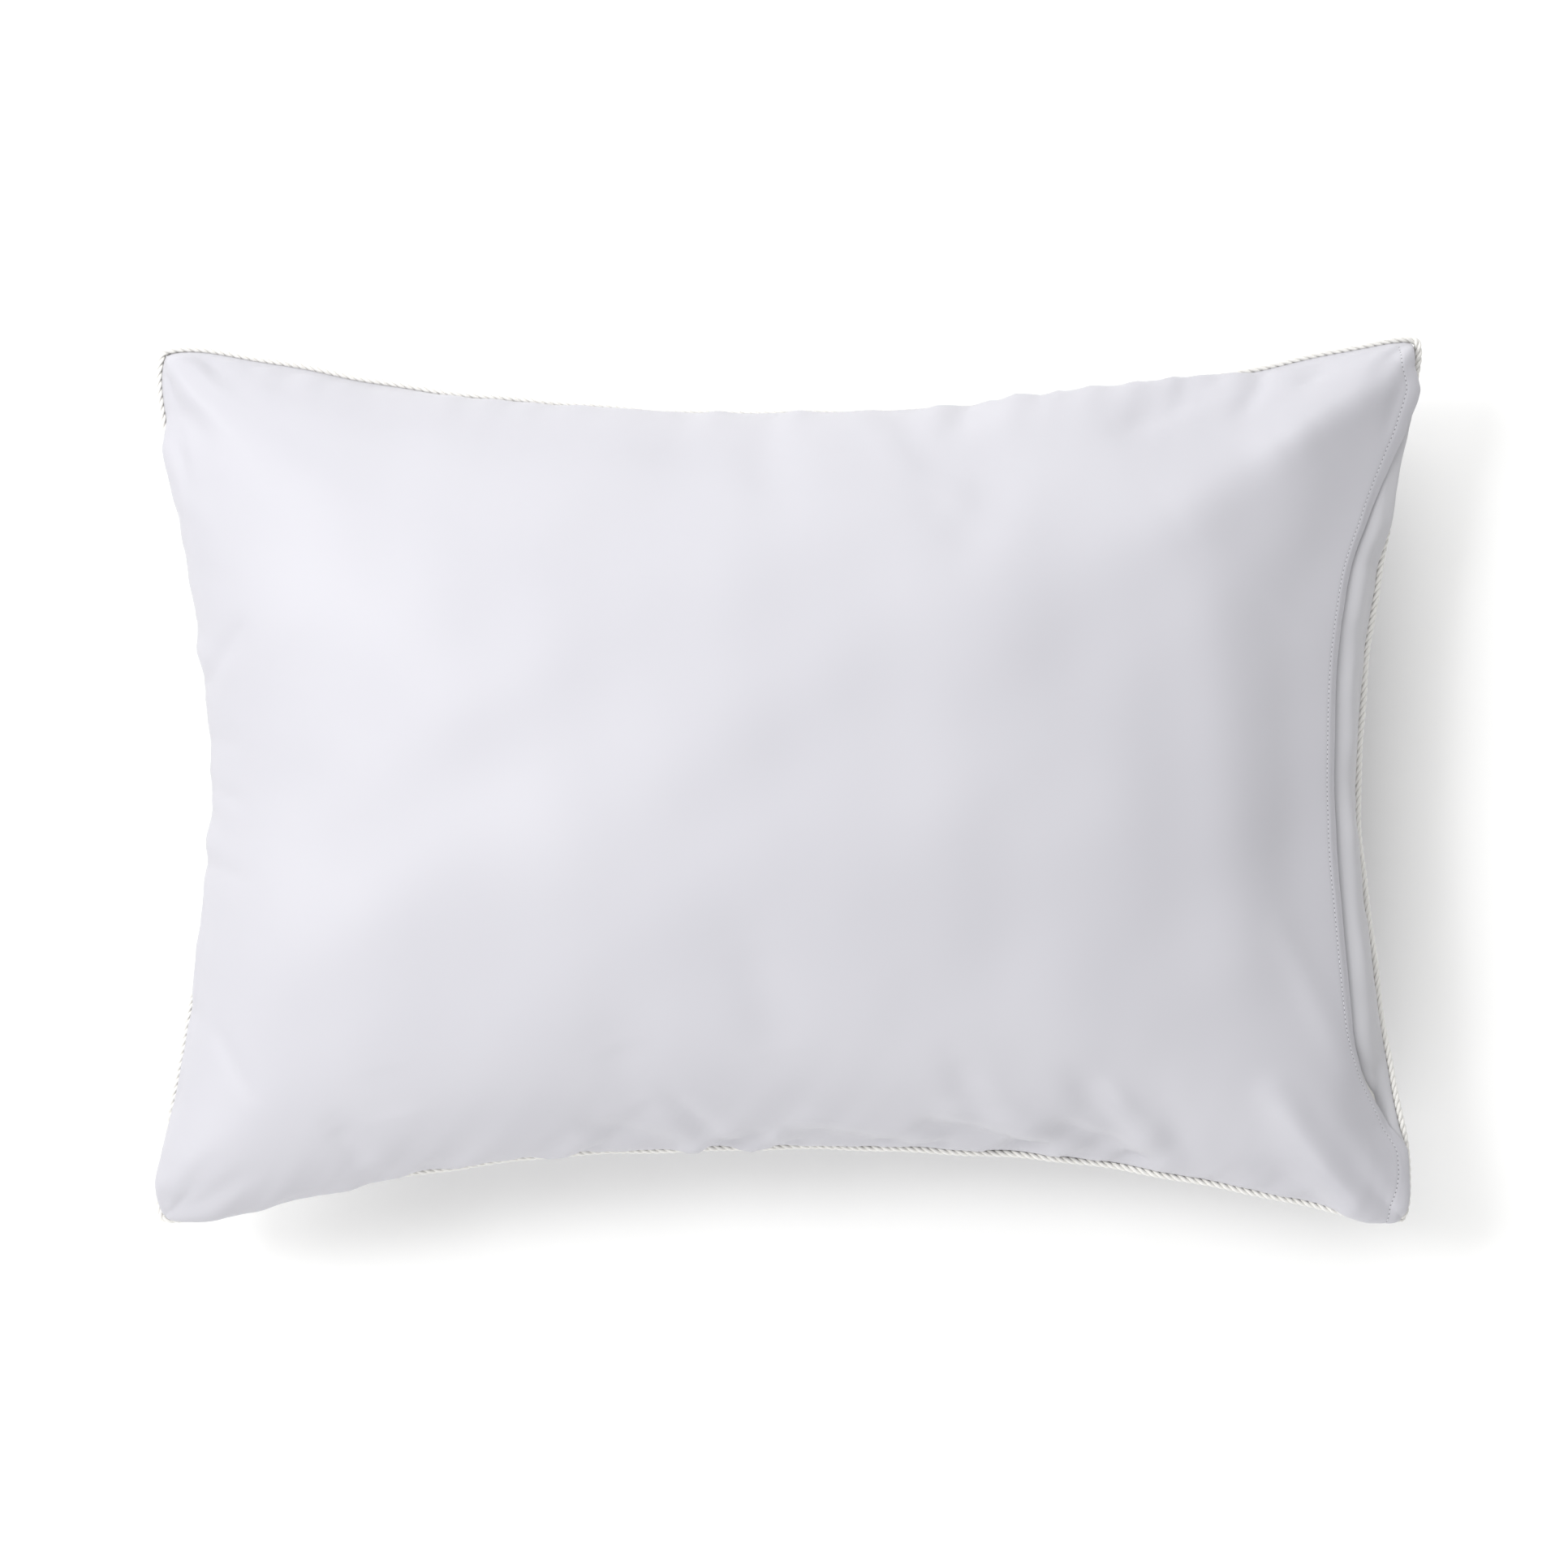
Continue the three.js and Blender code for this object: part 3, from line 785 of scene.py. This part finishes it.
# %% The stitch line and the fold edge
HEM_WIDTH = 9 * MM
LAST_FOLD = 0.975  # the fold edge comes no nearer to the seam than this
HEM_LINE = (  # place across the mouth, and the stitch line's share of the half length there
    [-1.0, -0.80, -0.70, -0.60, -0.53, -0.49, -0.44, -0.385, -0.265, -0.04,
     0.08, 0.21, 0.31, 0.40, 0.49, 0.60, 0.70, 0.80, 1.0],
    [0.805, 0.838, 0.868, 0.898, 0.868, 0.820, 0.782, 0.762, 0.768, 0.783,
     0.776, 0.770, 0.784, 0.812, 0.840, 0.862, 0.866, 0.850, 0.835],
)


def stitch_line(b):
    """Where the hem is stitched, as a share of the half length: the table's line, averaged over a
    short way to each side."""
    return np.mean([np.interp(b + shift, *HEM_LINE) for shift in np.linspace(-0.024, 0.024, 7)], axis=0)


def cloth_speed(a, b, step=2e-3):
    """Metres of cloth per unit of a."""
    return np.linalg.norm(plain_top(a + step, b) - plain_top(a - step, b), axis=-1) / (2 * step)


def fold_edge(b):
    """The turned edge: the stitch line plus the hem's width."""
    line = stitch_line(b)
    return np.minimum(line + HEM_WIDTH / cloth_speed(line + 0.02, b), LAST_FOLD)


# %% [markdown]
# ## The upper panel
# The panel is one sheet. Its columns run from the closed end to the fold edge, denser near the hem, go
# round the turned edge in a half circle, and come back under as the hem's second layer.

# %% Build the upper panel
ACROSS = 181  # points across a panel
FOLD_RADIUS = 0.55 * MM
GROOVE_DEPTH, GROOVE_WIDTH = 0.18 * MM, 0.9 * MM
HEM_PUFF = 0.12 * MM
HEM_DROOP = 0.9 * MM  # how much steeper the hem hangs in the middle of the mouth
HEM_TURN = 3.2 * MM  # how far the fold moves back from the seam there, as the hem is turned down
MOUTH_MIDDLE = -0.02  # b in the middle of the mouth
SHELF_RISE, SHELF_REACH = 3.0 * MM, 38 * MM  # the cloth before the hem lies flatter than the crown


def hem_detail(a, b):
    """A groove along the stitches, a slight puff of the doubled cloth beside it, and in the middle
    of the mouth a shelf that rises towards the stitches and a droop after them."""
    distance = (a - stitch_line(b)) * cloth_speed(a, b)
    groove = -GROOVE_DEPTH * bump(distance, 0, GROOVE_WIDTH)
    puff = HEM_PUFF * bump(distance, HEM_WIDTH * 0.55, HEM_WIDTH * 0.3)
    shelf = SHELF_RISE * np.clip(1 + distance / SHELF_REACH, 0, 1.3) ** 2
    droop = -HEM_DROOP * np.clip(distance / HEM_WIDTH, 0, 1.5) ** 1.5
    return groove + puff + (shelf + droop) * bump(b, MOUTH_MIDDLE, 0.36)


def middle_of_mouth(b):
    """1 over the middle of the mouth, 0 beside its corners."""
    return 1 - smooth(0.40, 0.62, np.abs(b - MOUTH_MIDDLE))


def hem_turn(a, b):
    """The hem is turned down steeply in the middle of the mouth: its points move back from the seam,
    by HEM_TURN at the fold, so that it is narrow from above."""
    distance = (a - stitch_line(b)) * cloth_speed(a, b)
    back = HEM_TURN * smooth(0, HEM_WIDTH, distance) * middle_of_mouth(b)
    return np.stack([-back, 0 * back, 0 * back], -1)


def upper_cloth(a, b):
    """The upper cloth with its hem: turned down at the mouth, and with the relief of the stitching."""
    points = case_top(a, b) + hem_turn(a, b)
    return points + normals_of(plain_top, a, b) * hem_detail(a, b)[..., None]


DENSE_FROM = 0.86  # the last part of the columns stands close together, beside the hem
DENSE_SHARE = 0.14
across = np.linspace(-1, 1, ACROSS)
edge = fold_edge(across)
share = np.concatenate([np.linspace(0, DENSE_FROM, 200)[:-1], np.linspace(DENSE_FROM, 1, 40)])[:, None]
wide_to = stitch_line(across) - 0.03
columns = np.where(
    share < DENSE_FROM,
    -1 + (wide_to + 1) * (share / DENSE_FROM),
    wide_to + (edge - wide_to) * ((share - DENSE_FROM) / DENSE_SHARE),
)
b_grid = np.broadcast_to(across, columns.shape)
upper = upper_cloth(columns, b_grid)
print(f"upper panel: {columns.shape[0]} columns up to the fold, {ACROSS} points across")

# %% Turn its edge under
turn = np.linspace(0, np.pi, 6)[1:, None]
edge_normal = grid_normals(upper)[-1]
edge_run = unit(upper[-1] - upper[-3])
half_circle = (
    upper[-1]
    - edge_normal * FOLD_RADIUS * (1 - np.cos(turn))[..., None]
    + edge_run * FOLD_RADIUS * np.sin(turn)[..., None]
)
back_share = np.linspace(0, 1, 9)[1:, None]
back_a = edge - back_share * (edge - stitch_line(across)) * 0.98
back_b = np.broadcast_to(across, back_a.shape)
under_layer = upper_cloth(back_a, back_b) - normals_of(plain_top, back_a, back_b) * 2 * FOLD_RADIUS
upper_all = np.concatenate([upper, half_circle, under_layer])
turned_a = np.concatenate([columns, edge + turn * 0.002, edge + 0.01 + back_share * 0.04])
upper_uv = flat_cut(turned_a, np.broadcast_to(across, turned_a.shape))
print(f"hem: {HEM_WIDTH / MM:.0f} mm wide, {len(upper_all)} columns with the turned edge")

# %% Paint the needle holes' shade as dark dots and make the panel
STITCH_PITCH, STITCH_LENGTH, THREAD_RADIUS = 2.45 * MM, 1.9 * MM, 0.22 * MM
# The needle holes are dark dots in the satin's colour: painted shade in the holes.
NEEDLE_RADIUS, PAINTED_HOLE_SHADE = 0.42 * MM, 0.17
hem_b = np.linspace(-0.985, 0.985, 900)
hem_path = upper_cloth(stitch_line(hem_b), hem_b)
hem_way = way_along(hem_path)
hem_stitches = round(hem_way[-1] / STITCH_PITCH)
hem_pitch = hem_way[-1] / hem_stitches
along_hem = np.interp(across, hem_b, hem_way)
across_hem = (columns - stitch_line(across)) * cloth_speed(columns, b_grid)
no_holes = np.ones((len(turned_a) - len(columns), ACROSS))  # a metre off the stitches
hem_uv = np.stack([np.broadcast_to(along_hem, turned_a.shape), np.concatenate([across_hem, no_holes])], -1)
# This satin carries the painted shade of the needle holes.
HEM_SATIN = satin("satin of the hemmed panel with painted hole shade", **SATIN_LOOK)
paint_needle_hole_shade(HEM_SATIN, hem_pitch, NEEDLE_RADIUS, PAINTED_HOLE_SHADE)
top_cloth = cloth_sheet("upper_panel_satin", upper_all, upper_uv, HEM_SATIN)
add_uv(top_cloth, "hem", hem_uv.reshape(-1, 2))
dress(top_cloth, ["case_top_panel"], "case")

# %% Build the lower panel
a_grid, b_grid = even_grid(241, ACROSS)
bottom_cloth = cloth_sheet(
    "lower_panel_satin", case_bottom(a_grid, b_grid), flat_cut(a_grid, b_grid), SATIN, turned=True)
dress(bottom_cloth, ["case_bottom_panel"], "case")

# %% [markdown]
# ## The tuck-in flap
# The flap is sewn to the end seam and passes under the hem. Its visible strip bulges softly, and it
# falls away from the hem near both corners, where the mouth gapes and shows its dark inside.

# %% Build the flap
FLAP_REACH = 0.25  # the free edge, as a share of the half length
FLAP_BULGE = 5.2 * MM
FLAP_DENSE_FROM = 0.74  # the flap's columns stand closer from here to the seam
GAPES = [  # place across, half width, depth in millimetres
    (0.655, 0.030, 10.0),
    (0.79, 0.050, 4.5),
    (-0.50, 0.030, 9.0),
    (-0.43, 0.025, 3.0),
    (-0.63, 0.022, 4.0),
]


def flap_depth(a, b):
    """How far the flap lies under the upper cloth: a little more beside the hem's edge, much more
    where the mouth gapes, and less than nothing where the flap bulges out between hem and seam."""
    past = (a - fold_edge(b)) * cloth_speed(np.minimum(a, 0.985), b)
    middle = bump(b, MOUTH_MIDDLE, 0.45)
    depth = 1.7 * MM + 3.0 * MM * middle_of_mouth(b) * bump(past, -4 * MM, 5 * MM)
    for place, width, deep in GAPES:
        depth = depth + deep * MM * bump(b, place, width) * smooth(0.72, 0.86, a)
    waves = 0.5 * np.sin(34 * b + 26 * a) + 0.35 * np.sin(61 * b - 18 * a + 1.0)
    between = smooth(-2.5 * MM, 10 * MM, past) * (1 - smooth(0.84, 1.0, a))
    return depth - (FLAP_BULGE + waves * MM) * middle * between


def flap_surface(a, b):
    """The flap: its depth under the upper cloth, none at the seam, and a push over the cord."""
    fade = smooth(0.0, 0.12, off_seam(a, b))
    over_cord = push_out(a, b, 1.8 * MM, 0) * bump(b, MOUTH_MIDDLE, 0.45)[..., None]
    under = (flap_depth(a, b) * fade + 0.2 * MM)[..., None]
    return case_top(a, b) + over_cord - normals_of(plain_top, a, b) * under


flap_columns = np.concatenate([
    np.linspace(FLAP_REACH, FLAP_DENSE_FROM, 60)[:-1],
    np.linspace(FLAP_DENSE_FROM, 1, 90),
])
a_grid, b_grid = np.meshgrid(flap_columns, across, indexing="ij")
flap_cloth = cloth_sheet("flap_satin", flap_surface(a_grid, b_grid), flat_cut(a_grid, b_grid), FLAP_SATIN_PAINTED_LIGHTER)
dress(flap_cloth, ["tuck_in_flap"], "case")

# %% [markdown]
# ## The twisted cord
# Three strands lie round each other like a rope. Each strand's centre is a helix around the seam's
# outline, with a whole number of turns so that the loop closes. The cord's lip is a flat tape that
# is sewn in between the panels.

# %% Twist the cord
LAY = 13.2 * MM  # length of one full turn of a strand
STRANDS = 3
STRAND_RADIUS = CORD_RADIUS * 0.49
HELIX_RADIUS = CORD_RADIUS * 0.53

cord_line, cord_length = even_steps(seam_loop(CORD_RADIUS), 0.9 * MM, closed=True)
run = unit(np.roll(cord_line, -1, axis=0) - np.roll(cord_line, 1, axis=0))
side = unit(np.cross(run, [0, 0, 1]))
up = np.cross(side, run)
turns = round(cord_length / LAY)
along_cord = np.arange(len(cord_line)) / len(cord_line)
strand_points, strand_quads, strand_uv = [], [], []
SIDES_OF_STRAND = 8
for strand in range(STRANDS):
    phase = 2 * np.pi * (strand / STRANDS - turns * along_cord)
    offset = HELIX_RADIUS * (np.cos(phase)[:, None] * side + np.sin(phase)[:, None] * up)
    centres = cord_line + offset
    strand_run = unit(np.roll(centres, -1, axis=0) - np.roll(centres, 1, axis=0))
    ring_side = unit(np.cross(strand_run, up))
    ring_up = np.cross(ring_side, strand_run)
    rings = tube_rings(centres, ring_side, ring_up, STRAND_RADIUS, SIDES_OF_STRAND)
    strand_quads.append(grid_quads(len(centres), SIDES_OF_STRAND, True, True)
                        + strand * len(centres) * SIDES_OF_STRAND)
    strand_points.append(rings.reshape(-1, 3))
    v = np.arange(SIDES_OF_STRAND) / SIDES_OF_STRAND * 2 * np.pi * STRAND_RADIUS
    strand_uv.append(np.stack(np.broadcast_arrays(along_cord[:, None] * cord_length, v), -1).reshape(-1, 2))
cord = mesh_from_quads("twisted_cord", np.concatenate(strand_points),
                       np.concatenate(strand_quads)[:, ::-1], np.concatenate(strand_uv))
cord.data.materials.append(CORD_YARN)
dress(cord, ["piping_cord"], "case")
print(f"cord: {cord_length:.3f} m long, {turns} turns")


# %% The cord's lip
TAPE_WIDTH, TAPE_HALF_THICKNESS = 8 * MM, 0.3 * MM


def ring_of_tape(name, outer_inset, inner_inset, half_thickness, material):
    """A flat closed band: a four-cornered section carried round the seam."""
    outer, inner = seam_loop(outer_inset), seam_loop(inner_inset)
    lift = np.array([0, 0, half_thickness])
    section = np.stack([outer - lift, inner - lift, inner + lift, outer + lift], 1)
    quads = grid_quads(len(outer), 4, True, True)
    places = np.broadcast_to(np.arange(len(outer))[:, None] * 2 * MM, (len(outer), 4))
    uv = np.stack([places, np.broadcast_to([0, TAPE_WIDTH, TAPE_WIDTH + MM, 2 * TAPE_WIDTH + MM],
                                           places.shape)], -1)
    piece = mesh_from_quads(name, section.reshape(-1, 3), quads[:, ::-1], uv.reshape(-1, 2), False)
    piece.data.materials.append(material)
    return piece


TAPE_OUTER = 2 * CORD_RADIUS + 0.1 * MM
TAPE_INNER = TAPE_OUTER + TAPE_WIDTH
tape = ring_of_tape("cord_lip_tape", TAPE_OUTER, TAPE_INNER, TAPE_HALF_THICKNESS, TAPE_COTTON)
dress(tape, ["piping_tape"], "case")

# %% [markdown]
# ## Stitches
# A sewing machine's stitch is a short thread that rises from the cloth, lies on it and dives in again.
# Each is a small tube with pinched ends, bent like a flat arch. All stitches of a row make one piece.


# %% Sew a row of stitches
def stitch_row(name, path, normals, pitch, length, radius, lift, material, closed=False):
    """Stitches of a given length at every pitch along a path, lying on the side of its normals."""
    centres, total = even_steps(path, pitch, closed)
    lengths = way_along(path)
    places = np.linspace(0, lengths[-1], len(centres))
    up = unit(np.stack([np.interp(places, lengths, normals[:, k]) for k in range(3)], -1))
    along = unit(np.gradient(centres, axis=0))
    side = unit(np.cross(along, up))
    share = np.linspace(-0.5, 0.5, 5)
    thick = np.array([0.35, 0.9, 1.0, 0.9, 0.35]) * radius
    arch = np.array([-1.0, 0.2, 0.5, 0.2, -1.0]) * radius
    middles = (centres[:, None] + along[:, None] * (share * length)[None, :, None]
               + up[:, None] * np.broadcast_to(lift + arch, (len(centres), 5))[..., None])
    angle = np.arange(6) * np.pi / 3
    ring = np.cos(angle)[:, None] * side[:, None, None] + np.sin(angle)[:, None] * up[:, None, None]
    points = middles[:, :, None] + thick[None, :, None, None] * ring
    one = grid_quads(5, 6, False, True)
    caps = np.array([[0, 1, 2, 3], [0, 3, 4, 5], [27, 26, 25, 24], [29, 28, 27, 24]])
    one = np.concatenate([one[:, ::-1], caps[:, ::-1]])
    quads = (one[None] + (np.arange(len(centres)) * 30)[:, None, None]).reshape(-1, 4)
    uv = np.tile(np.stack(np.meshgrid(share * length, angle * radius, indexing="ij"), -1).reshape(-1, 2),
                 (len(centres), 1))
    piece = mesh_from_quads(name, points.reshape(-1, 3), quads, uv)
    piece.data.materials.append(material)
    print(f"{name}: {len(centres)} stitches over {total:.3f} m")
    return piece


def normals_along(surface, line, b, step=0.002):
    """Normals along a line on a surface: a short step over the line, crossed with its own run."""
    before, path, after = (surface(line + shift, b) for shift in (-step, 0.0, step))
    return unit(np.cross(after - before, np.gradient(path, axis=0)))


# %% The hem of the mouth
hem_normals = normals_along(upper_cloth, stitch_line(hem_b), hem_b)
proud = (-0.12 + 0.26 * bump(np.linspace(-1, 1, hem_stitches + 1), -0.44, 0.10)) * MM
mouth_row = stitch_row("mouth_hem_stitches", hem_path, hem_normals, hem_pitch, STITCH_LENGTH,
                       THREAD_RADIUS, proud[:, None], SEWING_THREAD)
dress(mouth_row, ["mouth_hem_thread"], "case")

# %% The flap's free edge
flap_b = np.linspace(-0.93, 0.93, 700)
flap_line = np.full_like(flap_b, FLAP_REACH + 0.03)
under = -normals_along(flap_surface, flap_line, flap_b)
flap_path = flap_surface(flap_line, flap_b) + under * 0.5 * MM
flap_row = stitch_row("flap_hem_stitches", flap_path, under, STITCH_PITCH, STITCH_LENGTH,
                      THREAD_RADIUS, 0.1 * MM, SEWING_THREAD)
dress(flap_row, ["flap_hem_thread"], "case")

# %% The seam all round
loop = seam_loop((TAPE_OUTER + TAPE_INNER) / 2)
loop = np.concatenate([loop, loop[:1]]) + [0, 0, 0.35 * MM]
upwards = np.tile([0.0, 0.0, 1.0], (len(loop), 1))
seam_row = stitch_row("seam_stitches", loop, upwards, STITCH_PITCH, STITCH_LENGTH,
                      THREAD_RADIUS, 0.1 * MM, SEWING_THREAD)
dress(seam_row, ["seam_thread"], "case")

# %% [markdown]
# ## The insert
# Inside the case is a plain pillow: a fibre fill in a cotton ticking cover, closed by an overlocked
# edge. It is only seen when it slides out, but then it is the main thing to see, so it has its own
# gathers along the seam and a slightly lumpy crown.

# %% Build the insert
INSERT_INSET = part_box("insert_ticking_top")[0][0] - cord_low[0]
INSERT_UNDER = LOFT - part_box("insert_ticking_top")[1][2]
INSERT_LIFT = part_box("insert_ticking_bottom")[0][2]
TOP_SLACK, BOTTOM_SLACK = 1.5 * MM, 4.5 * MM  # room between the insert and the case
HALF_SEAM = 0.3 * MM
FILL_DEPTH = 1.6 * MM  # how far inside the ticking the fibre begins


def lumps(x, y):
    """The slow unevenness of a fibre fill, in metres."""
    rows = np.sin(21 * x + 1.2) * np.cos(27 * y + 0.4) + 0.6 * np.sin(43 * x - 31 * y)
    return rows * 0.7 * MM


def insert_top(a, b, depth=0.0):
    """The insert above its seam, depth under its outer face, with its own gathers and lumps."""
    x, y = plan(a, b, INSERT_INSET + depth)
    rise = TOP_CROWN - INSERT_UNDER - TOP_SLACK - depth
    points = np.stack([x, y, SEAM_Z + HALF_SEAM + rise * crown(a, b)], -1)
    relief = gathers(a, b, x, y, INSERT_SEED) + lumps(x, y) * smooth(0.05, 0.4, crown(a, b))
    return points + normals_of(plain_top, a, b) * relief[..., None]


def insert_bottom(a, b, depth=0.0):
    """The insert below its seam, with a soft step down to the flat patch inside the case."""
    x, y = plan(a, b, INSERT_INSET + depth)
    z = SEAM_Z - HALF_SEAM - (BOTTOM_CROWN - BOTTOM_SLACK - depth) * crown(a, b) - INSERT_LIFT
    z = (z + np.sqrt(z * z + (6 * MM) ** 2)) / 2 + INSERT_LIFT + depth
    points = np.stack([x, y, z], -1)
    relief = gathers(a, b, x, y, INSERT_SEED) * smooth(20 * MM, 50 * MM, z)
    return points - normals_of(plain_bottom, a, b) * relief[..., None]


a_grid, b_grid = even_grid(201, 151)
ticking_top = cloth_sheet("ticking_upper", insert_top(a_grid, b_grid), flat_cut(a_grid, b_grid), TICKING)
dress(ticking_top, ["insert_ticking_top"], "insert")
ticking_bottom = cloth_sheet(
    "ticking_lower", insert_bottom(a_grid, b_grid), flat_cut(a_grid, b_grid), TICKING, turned=True)
dress(ticking_bottom, ["insert_ticking_bottom"], "insert")

# %% The fibre fill
a_grid, b_grid = even_grid(121, 91)
faces_of_fill = [face(a_grid, b_grid, FILL_DEPTH) for face in (insert_top, insert_bottom)]
rows, cols = a_grid.shape
quads = np.concatenate([grid_quads(rows, cols), grid_quads(rows, cols)[:, ::-1] + rows * cols])
rim = np.concatenate([  # once round the upper face's edge
    np.arange(0, rows * cols, cols),
    (rows - 1) * cols + np.arange(1, cols),
    np.arange(rows * cols - 1 - cols, -1, -cols),
    np.arange(cols - 2, 0, -1),
])
nearby = np.roll(rim, -1)
band = np.stack([rim, rim + rows * cols, nearby + rows * cols, nearby], -1)
fill_points = np.concatenate([f.reshape(-1, 3) for f in faces_of_fill])
fill_uv = np.tile(flat_cut(a_grid, b_grid).reshape(-1, 2), (2, 1))
fill = mesh_from_quads("fibre_fill", fill_points, np.concatenate([quads, band]), fill_uv)
fill.data.materials.append(FIBRE)
dress(fill, ["insert_fill"], "insert")

# %% The overlocked edge of the insert
EDGE_PITCH, EDGE_STITCH, EDGE_THREAD = 3.2 * MM, 3.0 * MM, 0.35 * MM
edge_loop = seam_loop(INSERT_INSET + 0.5 * MM)
edge_loop = np.concatenate([edge_loop, edge_loop[:1]])
outwards = unit(edge_loop * [1, 1, 0])
edge_row = stitch_row("insert_edge_stitches", edge_loop, outwards, EDGE_PITCH, EDGE_STITCH,
                      EDGE_THREAD, 0.5 * MM, SEWING_THREAD)
dress(edge_row, ["insert_edge_thread"], "insert")

# %% [markdown]
# ## Each piece of the case with a mesh of its own
# Each piece of the case gets its own copy of its mesh data.

# %% Give each piece of the case its own mesh data
for piece in (top_cloth, bottom_cloth, flap_cloth, cord, tape, mouth_row, flap_row, seam_row):
    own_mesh(piece)

# %% [markdown]
# ## Floor, light and camera
# The pillow lies on a white floor. A large soft key lamp stands at the closed end, a little to the
# back, with a lower one beyond it that grazes the cloth and draws its folds. Two weaker lamps at the
# front and back and a white sky fill the shadows, so the crown is shaded gently and the floor burns out
# to white away from the shadow.

# %% Set the stage
FLOOR_REACH, FLOOR_DROP = 6, 0.5 * MM
SKY_STRENGTH = 0.47
LAMP_TARGET = (0, 0, 0.08)
corners = FLOOR_REACH * np.array([[-1, -1, 0], [1, -1, 0], [1, 1, 0], [-1, 1, 0]], float)
floor = mesh_from_quads("floor", corners - [0, 0, FLOOR_DROP], np.array([[0, 1, 2, 3]]))
floor_material, _, _ = new_material("white floor", (0.93, 0.93, 0.92), 0.9)
floor.data.materials.append(floor_material)

world = bpy.data.worlds.new("white sky")
world.use_nodes = True
background = world.node_tree.nodes["Background"]
background.inputs["Color"].default_value = (1, 1, 1, 1)
background.inputs["Strength"].default_value = SKY_STRENGTH
bpy.context.scene.world = world


def soft_lamp(name, place, size, power):
    """A square lamp that faces the pillow."""
    data = bpy.data.lights.new(name, "AREA")
    data.size = size
    data.energy = power
    lamp = bpy.data.objects.new(name, data)
    lamp.location = place
    direction = np.array(LAMP_TARGET) - np.array(place)
    lamp.rotation_euler = Vector(direction).to_track_quat("-Z", "Y").to_euler()
    bpy.context.scene.collection.objects.link(lamp)
    print(f"{name}: {power} W, {size} m wide")


soft_lamp("key lamp", (-1.35, 0.58, 2.25), 1.0, 29)
soft_lamp("low key lamp", (-2.1, 0.55, 1.45), 1.0, 20)
soft_lamp("front fill", (0, -2.0, 1.5), 1.6, 28)
soft_lamp("back fill", (0, 2.0, 1.5), 1.6, 34)

# %% Set the camera
CAMERA_HEIGHT = 3.6
FRAME_WIDTH = 0.8292  # what the picture spans at the seam's height
camera_data = bpy.data.cameras.new("camera")
camera_data.sensor_width = 36
camera_data.lens = camera_data.sensor_width * CAMERA_HEIGHT / FRAME_WIDTH
camera_data.clip_end = 50
camera = bpy.data.objects.new("camera", camera_data)
camera.location = (-0.0019, -0.0024, SEAM_Z + CAMERA_HEIGHT)
bpy.context.scene.collection.objects.link(camera)
bpy.context.scene.camera = camera
bpy.context.scene.view_settings.view_transform = "Standard"
bpy.context.scene.view_settings.exposure = 0.0
print(f"camera: {CAMERA_HEIGHT} m above the seam, {FRAME_WIDTH:.3f} m wide there")
